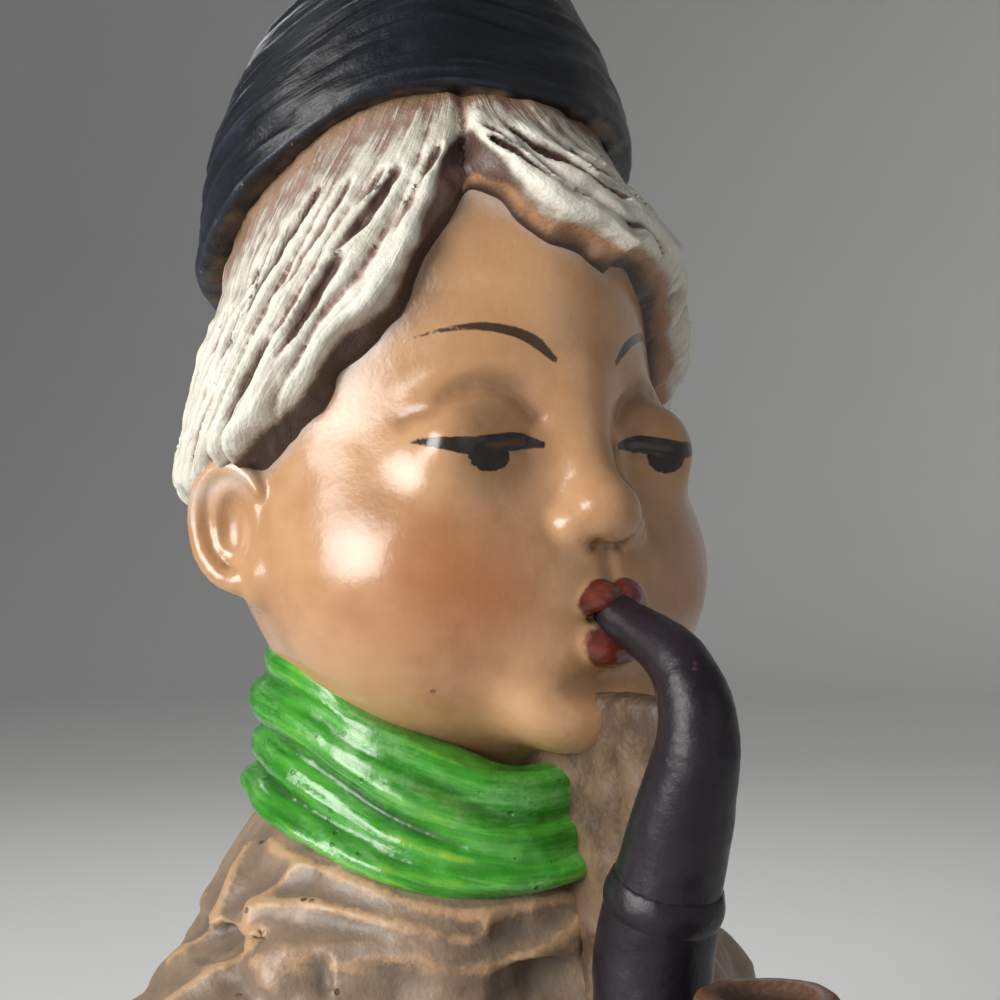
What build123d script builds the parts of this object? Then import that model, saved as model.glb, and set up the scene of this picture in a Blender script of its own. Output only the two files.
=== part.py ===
from build123d import *
from collections import namedtuple
from math import cos, pi, radians, sin, sqrt
import os

# Chalkware bust of a boy in a tall cap who puffs a large bent pipe: painted plaster castings over
# a hollow coat torso, with a hollow head plugged into its neck, hair, cap, scarf, collar and buttons
# in relief, and a pipe cast on a wire and tied to the body by a web of plaster.
# Millimetres. +Z is up, the face looks along -Y, and the origin is under the middle of the base.

# Heights of the whole figure
neck_height = 79.0
eye_above_neck = 41.0
eye_height = neck_height + eye_above_neck

# Plaster walls
torso_wall = 6.0
head_wall = 6.5

# Neck joint: a hollow plug under the head, in a socket of the torso
neck_plug_radius = 12.5
neck_plug_length = 17.0
neck_plug_clearance = 0.1
neck_bore_radius = 6.5
socket_floor_thickness = 7.0

# Felt under the base
felt_thickness = 1.5
felt_margin = 2.0

# Horizontal outlines: height, half width, reach to the front and to the back,
# swell of the cheeks, and depth of the coat's folds
Section = namedtuple("Section", "height half_width front back cheek fold", defaults=[0.0, 0.0])
outline_points = 16

# Skull, by height above or below the eyes
skull = [
    Section(height=-40.0, half_width=14.0, front=14.0, back=14.5),
    Section(height=-35.0, half_width=16.0, front=18.5, back=15.0),
    Section(height=-30.0, half_width=19.0, front=24.0, back=15.5, cheek=0.8),
    Section(height=-24.0, half_width=22.5, front=27.2, back=17.0, cheek=2.4),
    Section(height=-15.0, half_width=27.4, front=28.6, back=22.0, cheek=3.2),
    Section(height=-5.0, half_width=28.0, front=27.6, back=27.0, cheek=0.8),
    Section(height=5.0, half_width=27.2, front=26.8, back=29.5),
    Section(height=16.0, half_width=26.0, front=26.3, back=29.0),
    Section(height=28.0, half_width=23.4, front=22.6, back=27.0),
    Section(height=39.0, half_width=18.6, front=16.2, back=23.0),
    Section(height=49.0, half_width=10.5, front=7.0, back=15.0),
]

# Coat torso, by height above the standing surface
torso = [
    Section(height=felt_thickness, half_width=38.0, front=28.0, back=27.5, fold=2.2),
    Section(height=22.0, half_width=39.0, front=30.0, back=29.0, fold=2.6),
    Section(height=43.0, half_width=39.5, front=30.0, back=29.0, fold=2.6),
    Section(height=56.0, half_width=37.0, front=28.5, back=26.5, fold=2.2),
    Section(height=65.0, half_width=32.0, front=26.8, back=24.0, fold=1.2),
    Section(height=73.0, half_width=26.0, front=24.5, back=22.5, fold=0.6),
    Section(height=neck_height, half_width=20.5, front=20.5, back=20.0),
]

# Folds of the coat: sharp ridges round the torso that sway on their way down
fold_count = 15
fold_sway = 5.5
fold_sway_height = 13.0
fold_sway_step = 2.4

# Sleeves, as the torso, each about its own upright middle line this far from the middle
Sleeve = namedtuple("Sleeve", "offset section")
sleeve = [
    Sleeve(37.0, Section(height=felt_thickness, half_width=10.5, front=14.0, back=13.0)),
    Sleeve(37.5, Section(height=24.0, half_width=11.5, front=14.5, back=13.5)),
    Sleeve(36.5, Section(height=44.0, half_width=11.0, front=14.0, back=13.0)),
    Sleeve(33.5, Section(height=56.0, half_width=9.0, front=12.0, back=11.0)),
    Sleeve(29.5, Section(height=63.0, half_width=5.5, front=8.0, back=7.0)),
]

# Face, in relief on the skull. Places are (right of the middle, in front of it, above the eyes)
nose_tip = (0.0, 29.6, -7.6)
nose_tip_size = (4.5, 5.0, 4.2)
nose_bridge = (0.0, 25.4, -1.5)
nose_bridge_size = (4.2, 4.2, 9.0)
nostril_wing = (3.9, 28.0, -8.6)
nostril_wing_size = (2.7, 3.0, 2.5)
eyelid = (11.4, 22.6, 0.2)
eyelid_size = (6.6, 4.4, 5.0)
mouth_mound = (0.0, 24.6, -18.4)
mouth_mound_size = (10.5, 7.0, 8.0)
upper_lip = (0.0, 29.6, -15.8)
upper_lip_size = (6.6, 3.2, 2.3)
lower_lip = (0.0, 29.4, -21.4)
lower_lip_size = (5.8, 3.6, 2.8)
chin = (0.0, 22.4, -28.6)
chin_size = (9.0, 6.0, 5.4)
ear = (27.8, -4.6, -8.4)
ear_size = (3.4, 6.0, 8.4)
ear_hollow = (30.8, -3.8, -7.2)
ear_hollow_size = (2.2, 3.4, 5.0)
ear_flare = 16.0

# Hair: a mantle over the skull, fluted into locks that fan out from the parting
hair_thickness = 5.0
hair_root_thickness = 3.0
lock_depth = 1.8
lock_count = 24
points_per_lock = 4
parting_turn = -32.0
lock_fan = 0.5
hair_levels = [-12.0, -2.0, 9.0, 21.0, 32.0, 42.0]
fringe_parting = (-12.5, 28.5)
fringe_right = [(-20.5, 17.0), (-25.0, 10.0)]
fringe_left = [(-5.0, 22.4), (5.0, 19.4), (16.0, 17.2), (25.0, 10.0)]
fringe_depth = 9.0
side_hair_edge = [(-15.0, 11.0), (-5.0, 1.4), (5.5, -4.6), (17.0, -8.2), (32.0, -10.0)]

# Cap: a dome turned about a leaning axis, cut along a steeper brim.
# The profile is in shares of the radius and the height
cap_foot = 14.0
cap_radius = 28.6
cap_height = 47.0
cap_lean = 8.0
cap_set_back = 3.8
cap_profile = [(1.0, 0.0), (0.96, 0.32), (0.85, 0.62), (0.55, 0.9), (0.0, 1.0)]
cap_skirt = 12.0
brim_height = 31.0
brim_slope = 26.5

# Scarf: rolled wraps about the neck, each tilted a little differently, by height above the neck
Wrap = namedtuple("Wrap", "height radius half_width half_height tilt roll")
scarf_set_forward = 2.0
scarf_wraps = [
    Wrap(height=9.0, radius=19.0, half_width=5.6, half_height=5.0, tilt=20.0, roll=3.0),
    Wrap(height=3.5, radius=20.0, half_width=5.8, half_height=5.0, tilt=15.0, roll=-3.0),
    Wrap(height=-2.4, radius=20.6, half_width=5.0, half_height=4.0, tilt=12.0, roll=2.0),
]

# Collar of the coat, a raised band that laps over itself in front
collar_thickness = 2.2
collar_edge_height = 66.0
collar_edge_slope = 4.0
collar_gap = 4.0
collar_gap_lean = 16.0

# Buttons of the coat, in two rows
button_radius = 4.2
button_thickness = 2.4
button_sunk = 2.0
button_dish_radius = 2.6
button_dish_depth = 0.8
button_offset = 16.0
button_heights = [46.0, 22.0]

# Pipe, in the middle plane: (in front of the middle, above the eyes)
pipe_mouth_end = (25.5, -16.3)
pipe_front_bend = (46.4, -24.6)
pipe_back_bend = (36.9, -54.0)
pipe_heel = (36.9, -80.0)
pipe_toe = (54.0, -80.0)
pipe_bend_radii = [10.0, 24.0, 9.5]
mouthpiece_length = 43.5
mouthpiece_taper = [(0.0, 2.4), (0.2, 2.6), (0.4, 3.4), (0.6, 4.5), (0.8, 5.5), (1.0, 5.9)]
shank_taper = [(0.0, 6.2), (0.15, 6.4), (0.35, 6.4), (0.55, 6.3), (0.7, 6.1), (0.85, 5.9), (1.0, 5.6)]
tenon_radius = 3.0
tenon_length = 6.0
tenon_clearance = 0.1
ferrule_length = 4.0
ferrule_thickness = 0.6
ferrule_round = 0.3
wire_radius = 1.0
wire_inset = 4.0
bowl_height = 31.8
bowl_drop = 6.6
bowl_radius = 8.6
bowl_foot_radius = 4.0
bowl_rim_radius = 7.4
bowl_foot_tangent = (1.0, 0.3)
bowl_rim_tangent = (-0.1, 1.0)
bowl_dish_radius = 5.0
bowl_dish_depth = 2.6

# Plaster web between the pipe and the body
web_thickness = 4.4
web_top = -27.0
web_bottom = -72.0
web_root = 14.0
web_lap = 2.5

# Larger than any piece, for the half spaces that trim them
beyond = 160.0


def outline(section, base=0.0, grow=0.0, offset=0.0):
    """Closed outline with its own reach to the front and to the back, where its seam lies."""
    points = []
    for step in range(outline_points):
        turn = pi + 2 * pi * step / outline_points
        ahead = cos(turn) > 0
        reach = section.front if ahead else section.back
        swell = grow + (section.cheek * sin(2 * turn) ** 2 if ahead else 0.0)
        across = offset + (section.half_width + swell) * sin(turn)
        points.append((across, -(reach + swell) * cos(turn), base + section.height))
    return Face(Wire([Spline(*points, periodic=True)]))


def outline_loft(sections, base=0.0, grow=0.0):
    return loft([outline(section, base, grow) for section in sections])


def folded_outline(section):
    """Outline of the coat with straight flanks between sharp ridges and hollows."""
    points = []
    for step in range(2 * fold_count):
        fold = step // 2
        sway = radians(fold_sway) * sin(section.height / fold_sway_height + fold_sway_step * fold)
        turn = pi + pi * (step + 0.5) / fold_count + sway
        grow = section.fold / 2 if step % 2 == 0 else -section.fold / 2
        reach = section.front if cos(turn) > 0 else section.back
        points.append(((section.half_width + grow) * sin(turn), -(reach + grow) * cos(turn), section.height))
    return Face(Wire(Polyline(*points, close=True)))


def head_place(across, front, up):
    return Pos(across, -front, eye_height + up)


def ellipsoid(place, size, side=1, flare=0.0):
    """Ellipsoid on either side of the face, with its seam away from the middle."""
    across, front, up = place
    outward = 0.0 if side > 0 else 180.0
    return head_place(side * across, front, up) * Rot(0, 0, side * flare + outward) * scale(Sphere(1.0), by=size)


def both_sides(place, size, flare=0.0):
    return [ellipsoid(place, size, side, flare) for side in (1, -1)]


def half_space(height, slope, align):
    """Everything below or above a plane that slopes up towards the front."""
    block = Box(beyond, beyond, beyond, align=(Align.CENTER, Align.CENTER, align))
    return Pos(0, 0, height) * Rot(-slope, 0, 0) * block


def below(height, slope=0.0):
    return half_space(height, slope, Align.MAX)


def above(height, slope=0.0):
    return half_space(height, slope, Align.MIN)


def skull_section(height):
    """Outline of the skull between two of its named sections."""
    for low, high in zip(skull, skull[1:]):
        if low.height <= height <= high.height:
            share = (height - low.height) / (high.height - low.height)
            return Section(height, *[a + share * (b - a) for a, b in zip(low[1:], high[1:])])
    raise ValueError("no skull at this height")


def make_head_form():
    form = outline_loft(skull, eye_height)
    relief = [
        ellipsoid(nose_tip, nose_tip_size),
        ellipsoid(nose_bridge, nose_bridge_size),
        ellipsoid(mouth_mound, mouth_mound_size),
        ellipsoid(upper_lip, upper_lip_size),
        ellipsoid(lower_lip, lower_lip_size),
        ellipsoid(chin, chin_size),
    ]
    relief += both_sides(nostril_wing, nostril_wing_size)
    relief += both_sides(eyelid, eyelid_size)
    relief += both_sides(ear, ear_size, ear_flare)
    plug_top = eye_height + skull[0].height
    plug_floor = neck_height - neck_plug_length
    relief.append(Pos(0, 0, plug_floor) * extrude(Circle(neck_plug_radius), plug_top - plug_floor))
    return form + relief - both_sides(ear_hollow, ear_hollow_size, ear_flare)


def make_head(head_form, pipe_form):
    """Hollow head, drained through the neck, with a hole in the lips for the pipe."""
    hollow = outline_loft(skull[1:-1], eye_height, -head_wall)
    plug_floor = neck_height - neck_plug_length
    hollow_floor = eye_height + skull[1].height
    bore = Pos(0, 0, plug_floor) * extrude(Circle(neck_bore_radius), hollow_floor - plug_floor)
    return head_form - [hollow, bore, pipe_form]


def make_torso_form():
    sleeves = [loft([outline(s.section, offset=side * s.offset) for s in sleeve]) for side in (1, -1)]
    return loft([folded_outline(section) for section in torso], ruled=True) + sleeves


def make_torso(torso_form):
    """Hollow torso, open underneath, with a socket and a drain for the neck plug of the head."""
    socket_floor = neck_height - neck_plug_length
    hollow_top = socket_floor - socket_floor_thickness
    hollow = outline_loft(torso, grow=-torso_wall) & below(hollow_top)
    socket_radius = neck_plug_radius + neck_plug_clearance
    socket = Pos(0, 0, socket_floor) * extrude(Circle(socket_radius), neck_plug_length)
    drain = Pos(0, 0, hollow_top) * extrude(Circle(neck_bore_radius), socket_floor_thickness)
    return torso_form - [hollow, socket, drain]


def make_felt():
    pad = outline(torso[0], grow=-felt_margin)
    for side in (1, -1):
        pad = pad + outline(sleeve[0].section, grow=-felt_margin, offset=side * sleeve[0].offset)
    return Pos(0, 0, -felt_thickness) * extrude(pad, felt_thickness)


def make_hair_form():
    """Fluted mantle, whose locks bunch at the parting high up and fan out on the way down."""
    faces = []
    count = lock_count * points_per_lock
    bottom, top = hair_levels[0], hair_levels[-1]
    for height in hair_levels:
        section = skull_section(height)
        rise = (height - bottom) / (top - bottom)
        thickness = hair_thickness + rise ** 2 * (hair_root_thickness - hair_thickness)
        fan = lock_fan * rise
        points = []
        for step in range(count):
            turn = 2 * pi * step / count
            place = turn - fan * sin(turn - radians(parting_turn))
            grow = thickness - lock_depth * cos(lock_count * turn / 2) ** 2
            reach = section.front if cos(place) > 0 else section.back
            across = (section.half_width + grow) * sin(place)
            points.append((across, -(reach + grow) * cos(place), eye_height + height))
        faces.append(Face(Wire([Spline(*points, periodic=True)])))
    return loft(faces)


def make_fringe_cut():
    """Opening of the hair over the forehead, below the parted fringe."""
    right_end, left_end = fringe_right[-1], fringe_left[-1]
    floor = hair_levels[0] - hair_thickness
    edges = [
        Spline(fringe_parting, *fringe_right),
        Polyline(right_end, (-beyond, right_end[1]), (-beyond, floor), (beyond, floor),
                 (beyond, left_end[1]), left_end),
        Spline(*reversed(fringe_left), fringe_parting),
    ]
    front = Plane(origin=(0, -fringe_depth, eye_height), x_dir=(1, 0, 0), z_dir=(0, -1, 0))
    return extrude(front * make_face(edges), beyond)


def make_side_cut():
    """Opening of the hair over the temples, ears and nape, along its lower edge."""
    front_end, back_end = side_hair_edge[0], side_hair_edge[-1]
    floor = hair_levels[0] - hair_thickness
    edges = [
        Spline(*side_hair_edge),
        Polyline(back_end, (beyond, back_end[1]), (beyond, floor), (-beyond, floor),
                 (-beyond, front_end[1]), front_end),
    ]
    side = Plane(origin=(0, 0, eye_height), x_dir=(0, 1, 0), z_dir=(1, 0, 0))
    return extrude(side * make_face(edges), beyond, both=True)


def make_hair(head_form):
    under_cap = above(eye_height + brim_height, brim_slope)
    return make_hair_form() - [head_form, under_cap, make_fringe_cut(), make_side_cut()]


def make_cap_form():
    points = [(cap_radius * across, cap_height * up) for across, up in cap_profile]
    crown = Spline(*points, tangents=[(0, 1), (-1, 0)])
    skirt = Polyline((0, cap_height), (0, -cap_skirt), (cap_radius, -cap_skirt), (cap_radius, 0))
    dome = revolve(Plane.XZ * make_face([crown, skirt]), Axis.Z)
    place = Pos(0, cap_set_back, eye_height + cap_foot) * Rot(-cap_lean, 0, 0)
    return place * dome - below(eye_height + brim_height, brim_slope)


def make_scarf_form():
    rolls = []
    for wrap in scarf_wraps:
        rim = EllipticalCenterArc((wrap.radius, 0), wrap.half_width, wrap.half_height, start_angle=-90, arc_size=180)
        core = Polyline(rim @ 1, (0, wrap.half_height), (0, -wrap.half_height), rim @ 0)
        roll = revolve(Plane.XZ * make_face([rim, core]), Axis.Z)
        place = Pos(0, -scarf_set_forward, neck_height + wrap.height) * Rot(wrap.tilt, wrap.roll, 0)
        rolls.append(place * roll)
    return rolls[0] + rolls[1:]


def make_collar(torso_form, scarf_form, head_form):
    raised = outline_loft(torso, grow=collar_thickness)
    gap = Box(collar_gap, beyond, beyond, align=(Align.CENTER, Align.MAX, Align.CENTER))
    gap = Pos(0, 0, collar_edge_height) * Rot(0, collar_gap_lean, 0) * gap
    edge = below(collar_edge_height, -collar_edge_slope)
    band = raised - [torso_form, edge, gap]
    return band - scarf_form - head_form


def make_buttons(torso_form):
    """Dished discs, each square to the coat where it sits."""
    profile = make_face(Polyline(
        (0, -button_sunk), (button_radius, -button_sunk), (button_radius, button_thickness),
        (button_dish_radius, button_thickness), (0, button_thickness - button_dish_depth), close=True))
    disc = revolve(Plane.XZ * profile, Axis.Z)
    buttons = []
    for height in button_heights:
        low, high = [pair for pair in zip(torso, torso[1:]) if pair[0].height <= height <= pair[1].height][0]
        share = (height - low.height) / (high.height - low.height)
        half_width = low.half_width + share * (high.half_width - low.half_width)
        front = low.front + share * (high.front - low.front)
        for side in (1, -1):
            across = side * button_offset
            reach = front * sqrt(1 - (across / half_width) ** 2)
            facing = (across / half_width ** 2, -reach / front ** 2, 0)
            place = Plane((across, -reach, height), x_dir=(0, 0, 1), z_dir=facing)
            buttons.append(place * disc - torso_form)
    return buttons


def in_middle(front, up):
    return Vector(0, -front, eye_height + up)


def pipe_path(inset=0.0):
    """Middle line of the pipe from the lips to the bowl, as straight runs and tangent arcs."""
    corners = [pipe_mouth_end, pipe_front_bend, pipe_back_bend, pipe_heel, pipe_toe]
    points = [in_middle(*corner) for corner in corners]
    points[0] += (points[1] - points[0]).normalized() * inset
    points[-1] += (points[-2] - points[-1]).normalized() * inset
    return FilletPolyline(*points, radius=pipe_bend_radii)


def across_path(path, distance):
    """Plane square to the path at a distance from its start."""
    share = distance / path.length
    return Plane(path.position_at(share), x_dir=(1, 0, 0), z_dir=path.tangent_at(share))


def pipe_run(path, start, end, taper):
    """Round run along the path through circles given as (share of the run, radius)."""
    return loft([across_path(path, start + share * (end - start)) * Circle(r) for share, r in taper])


def make_bowl_cup():
    """Turned bowl of the pipe with a dished top."""
    foot = eye_height + pipe_toe[1] - bowl_drop
    rim = foot + bowl_height
    wall = Spline((bowl_foot_radius, foot), (bowl_radius, foot + bowl_height / 2), (bowl_rim_radius, rim),
                  tangents=[bowl_foot_tangent, bowl_rim_tangent])
    dish_floor = rim - bowl_dish_depth
    top = Polyline((bowl_rim_radius, rim), (bowl_dish_radius, rim), (0, dish_floor))
    closing = Polyline((0, dish_floor), (0, foot), (bowl_foot_radius, foot))
    return Pos(0, -pipe_toe[0], 0) * revolve(Plane.XZ * make_face([wall, top, closing]), Axis.Z)


def make_pipe():
    """Mouthpiece, ferrule, bowl with its shank, and the wire cast inside them."""
    path = pipe_path()
    wire_path = pipe_path(wire_inset)
    wire_end = Plane(wire_path @ 0, x_dir=(1, 0, 0), z_dir=wire_path % 0)
    wire = sweep(wire_end * Circle(wire_radius), path=wire_path)
    joint = across_path(path, mouthpiece_length)
    mouthpiece = pipe_run(path, 0, mouthpiece_length, mouthpiece_taper)
    shank = pipe_run(path, mouthpiece_length, path.length, shank_taper)
    tenon = joint * extrude(Circle(tenon_radius), tenon_length)
    socket = joint * extrude(Circle(tenon_radius + tenon_clearance), tenon_length)
    band_radius = max(mouthpiece_taper[-1][1], shank_taper[0][1]) + ferrule_thickness
    band = joint * Cylinder(band_radius, ferrule_length)
    ferrule = fillet(band.edges(), ferrule_round) - [mouthpiece, shank]
    bowl = shank + make_bowl_cup()
    nodes = {
        "pipe_mouthpiece": mouthpiece + tenon - wire,
        "pipe_ferrule": ferrule,
        "pipe_bowl": bowl - [socket, wire],
        "pipe_wire": wire,
    }
    return nodes, mouthpiece + [bowl, ferrule]


def make_web(pipe_form, *body_forms):
    """Plate of plaster between the pipe and the body, with its front edge inside the pipe."""
    corners = [in_middle(web_root, web_top), in_middle(pipe_front_bend[0] - web_lap, web_top),
               in_middle(*pipe_back_bend), in_middle(pipe_back_bend[0], web_bottom),
               in_middle(web_root, web_bottom)]
    plate = extrude(Face(Wire(Polyline(*corners, close=True))), web_thickness / 2, dir=(1, 0, 0), both=True)
    for form in (pipe_form, *body_forms):
        plate = plate - form
    return plate


head_form = make_head_form()
torso_form = make_torso_form()
cap_form = make_cap_form()
scarf_form = make_scarf_form()
pipe_nodes, pipe_form = make_pipe()
collar = make_collar(torso_form, scarf_form, head_form)

nodes = {
    "felt_pad": make_felt(),
    "torso_casting": make_torso(torso_form),
    "coat_collar": collar,
    "coat_buttons": make_buttons(torso_form),
    "scarf": scarf_form - [head_form, torso_form, pipe_form],
    "head_casting": make_head(head_form, pipe_form),
    "hair": make_hair(head_form),
    "cap": cap_form - head_form,
    "pipe_web": make_web(pipe_form, head_form, torso_form, scarf_form, collar),
    **pipe_nodes,
}

os.makedirs("parts", exist_ok=True)
for name, node in nodes.items():
    solids = [solid for piece in (node if isinstance(node, list) else [node]) for solid in piece.solids()]
    export_step(Compound(children=solids), f"parts/{name}.step")
    print(f"{name}: {len(solids)} solids, {sum(solid.volume for solid in solids):.0f} mm3")
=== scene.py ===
import bmesh
import bpy
import math

import numpy as np
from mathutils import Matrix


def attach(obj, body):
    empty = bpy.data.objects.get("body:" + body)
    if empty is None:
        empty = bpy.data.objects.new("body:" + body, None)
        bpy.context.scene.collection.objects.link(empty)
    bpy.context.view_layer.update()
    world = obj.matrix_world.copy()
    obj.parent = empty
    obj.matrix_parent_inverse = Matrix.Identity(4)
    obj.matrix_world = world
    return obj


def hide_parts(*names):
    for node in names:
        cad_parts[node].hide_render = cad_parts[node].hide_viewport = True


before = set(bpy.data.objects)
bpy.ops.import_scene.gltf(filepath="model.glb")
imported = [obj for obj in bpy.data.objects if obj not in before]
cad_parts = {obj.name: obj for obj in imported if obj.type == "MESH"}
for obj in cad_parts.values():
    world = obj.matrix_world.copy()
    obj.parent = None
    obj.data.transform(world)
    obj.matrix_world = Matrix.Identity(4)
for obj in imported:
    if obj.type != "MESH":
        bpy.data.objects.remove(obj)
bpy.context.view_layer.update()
mm = 0.001
eyeHeight = 120.0  # mm above the standing surface
eyeLevel = (0, 0, eyeHeight)
sides = (-1, 1)    # the figure's right and left
unpainted = -8.0   # mm, the least depth that a brush mark holds
strokeRun = 9      # how much longer the brushed ridges of cap and scarf are than wide
print("frame loaded")


# Distances are in mm. Forms are pressed into a block of clay, and a skin is drawn round what is left.

def smoothJoin(a, b, blend):
    if blend <= 0:
        return np.minimum(a, b)
    near = np.maximum(blend - np.abs(a - b), 0) / blend
    return np.minimum(a, b) - near * near * blend * 0.25


def smoothCarve(a, b, blend):
    return -smoothJoin(-a, b, blend)


def smoothClip(a, b, blend):
    return -smoothJoin(-a, -b, blend)


def smoothStep(value, low, high):
    t = np.clip((value - low) / (high - low), 0, 1)
    return t * t * (3 - 2 * t)


def turnOf(x, y):
    # degrees round the figure from its front
    return np.degrees(np.arctan2(x, -y))


def lookUp(table, at):
    # straight lines between the rows of a table of (place, value)
    return np.interp(at, *np.array(table, float).T)


def taper(count, places, values):
    return np.interp(np.linspace(0, 1, count), places, values)


def easeTable(z, knots, values):
    # smooth curve through a table, level beyond its ends
    knots = np.asarray(knots, float)
    values = np.asarray(values, float)
    slopes = np.gradient(values, knots)
    z = np.clip(z, knots[0], knots[-1])
    i = np.clip(np.searchsorted(knots, z) - 1, 0, len(knots) - 2)
    span = knots[i + 1] - knots[i]
    t = (z - knots[i]) / span
    a = values[i] * (1 + 2 * t) * (1 - t) ** 2 + slopes[i] * span * t * (1 - t) ** 2
    return a + values[i + 1] * t * t * (3 - 2 * t) - slopes[i + 1] * span * t * t * (1 - t)


def curveThrough(points, steps=8):
    # smooth path through given points
    points = np.asarray(points, float)
    along = np.arange(len(points))
    fine = np.linspace(0, len(points) - 1, steps * (len(points) - 1) + 1)
    return np.stack([easeTable(fine, along, column) for column in points.T], axis=1)


def loftDistance(x, y, z, table):
    # rows of the table: height, half width, reach to the front, reach to the back and swell of the cheeks
    heights, *columns = np.asarray(table, float).T
    width, front, back = [easeTable(z, heights, column) for column in columns[:3]]
    if len(columns) > 3:
        swell = 4 * (x * y) ** 2 / np.maximum(x * x + y * y, 1e-6) ** 2 * easeTable(z, heights, columns[3])
        width = width + swell * (y < 0)
        front = front + swell
    share = np.sqrt((x / width) ** 2 + (y / np.where(y < 0, front, back)) ** 2)
    reach = np.sqrt(x * x + y * y) / np.maximum(share, 1e-3)
    side = (share - 1) * np.maximum(reach, 1.0)
    return np.maximum(side, np.maximum(z - heights[-1], heights[0] - z))


def fromSegment(x, y, z, a, b):
    # share of the way from a to b, and the offset from that spot
    run = b - a
    px, py, pz = x - a[0], y - a[1], z - a[2]
    t = np.clip((px * run[0] + py * run[1] + pz * run[2]) / max(run @ run, 1e-9), 0, 1)
    return t, px - t * run[0], py - t * run[1], pz - t * run[2]


class Clay:
    def __init__(self, low, high, step):
        self.low = np.array(low, float)
        self.step = step
        counts = np.ceil((np.array(high, float) - self.low) / step).astype(int) + 1
        self.axes = [(a + step * np.arange(n)).astype(np.float32) for a, n in zip(self.low, counts)]
        self.distance = np.full(counts, 60.0, np.float32)

    def window(self, low, high):
        spans = []
        for i in range(3):
            first = int(np.floor((low[i] - self.low[i]) / self.step))
            last = int(np.ceil((high[i] - self.low[i]) / self.step)) + 1
            count = len(self.axes[i])
            spans.append(slice(min(max(first, 0), count), min(max(last, 0), count)))
        return tuple(spans)

    def everywhere(self):
        return tuple(slice(0, len(axis)) for axis in self.axes)

    def points(self, spans):
        return np.meshgrid(*[axis[s] for axis, s in zip(self.axes, spans)], indexing="ij", sparse=True)

    def press(self, form, blend=0.0, how=smoothJoin, low=None, high=None):
        spans = self.everywhere() if low is None else self.window(low, high)
        x, y, z = self.points(spans)
        self.distance[spans] = how(self.distance[spans], form(x, y, z).astype(np.float32), blend)

    def ball(self, centre, radii, blend=0.0, how=smoothJoin, turn=0.0):
        # turn is in degrees about the upright
        centre = np.array(centre, float)
        radii = np.array(radii, float) * np.ones(3)
        c, s = math.cos(math.radians(turn)), math.sin(math.radians(turn))
        axes = np.array([[c, s, 0], [-s, c, 0], [0, 0, 1]])
        reach = radii.max() + blend + 1.5

        def form(x, y, z):
            px, py, pz = x - centre[0], y - centre[1], z - centre[2]
            inside = 0
            slope = 0
            for row, r in zip(axes, radii):
                along = row[0] * px + row[1] * py + row[2] * pz
                inside = inside + (along / r) ** 2
                slope = slope + (along / (r * r)) ** 2
            inside = np.sqrt(inside)
            return inside * (inside - 1) / np.maximum(np.sqrt(slope), 1e-4)

        self.press(form, blend, how, centre - reach, centre + reach)

    def rod(self, path, radii, blend=0.0, how=smoothJoin, flat=None):
        # flat = (direction, share): the rod is squeezed to that share along the direction
        path = np.asarray(path, float)
        radii = np.asarray(radii, float) * np.ones(len(path))
        reach = radii.max() + blend + 1.5

        def form(x, y, z):
            best = None
            for a, b, ra, rb in zip(path, path[1:], radii, radii[1:]):
                t, dx, dy, dz = fromSegment(x, y, z, a, b)
                square = dx * dx + dy * dy + dz * dz
                if flat is not None:
                    along = dx * flat[0][0] + dy * flat[0][1] + dz * flat[0][2]
                    square = square + along * along * (1 / flat[1] ** 2 - 1)
                d = np.sqrt(square) - (ra + t * (rb - ra))
                best = d if best is None else np.minimum(best, d)
            return best

        self.press(form, blend, how, path.min(axis=0) - reach, path.max(axis=0) + reach)

    def even(self):
        # brings the slope of the distance back to one near the skin
        slope = np.sqrt(sum(g * g for g in np.gradient(self.distance, self.step)))
        self.distance /= np.maximum(slope, 0.35)

    def skin(self):
        d = self.distance
        inside = d < 0
        counts = np.array(d.shape) - 1
        corners = [(i, j, k) for i in (0, 1) for j in (0, 1) for k in (0, 1)]
        total = np.zeros(counts, np.int8)
        for i, j, k in corners:
            total += inside[i:i + counts[0], j:j + counts[1], k:k + counts[2]]
        cells = np.argwhere((total > 0) & (total < 8))
        label = np.full(counts, -1, np.int32)
        label[tuple(cells.T)] = np.arange(len(cells))
        spot = np.zeros((len(cells), 3))
        crossings = np.zeros(len(cells))
        for a in corners:
            for axis in range(3):
                if a[axis]:
                    continue
                b = list(a)
                b[axis] = 1
                da = d[tuple((cells + a).T)]
                db = d[tuple((cells + b).T)]
                crossed = (da < 0) != (db < 0)
                t = np.where(crossed, da / np.where(crossed, da - db, 1), 0)
                point = np.array(a, float) + t[:, None] * (np.array(b) - a)
                spot += point * crossed[:, None]
                crossings += crossed
        points = self.low + self.step * (cells + spot / crossings[:, None])
        quads = []
        for axis in range(3):
            u, v = (axis + 1) % 3, (axis + 2) % 3
            first = [slice(1, -1)] * 3
            second = [slice(1, -1)] * 3
            first[axis] = slice(0, -1)
            second[axis] = slice(1, None)
            here = inside[tuple(first)]
            edges = np.argwhere(here != inside[tuple(second)])
            outward = here[tuple(edges.T)]
            edges[:, [u, v]] += 1
            around = []
            for du, dv in ((-1, -1), (0, -1), (0, 0), (-1, 0)):
                cell = edges.copy()
                cell[:, u] += du
                cell[:, v] += dv
                around.append(label[tuple(cell.T)])
            quad = np.stack(around, axis=1)
            quad[~outward] = quad[~outward][:, ::-1]
            quads.append(quad)
        return points, np.concatenate(quads)


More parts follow.
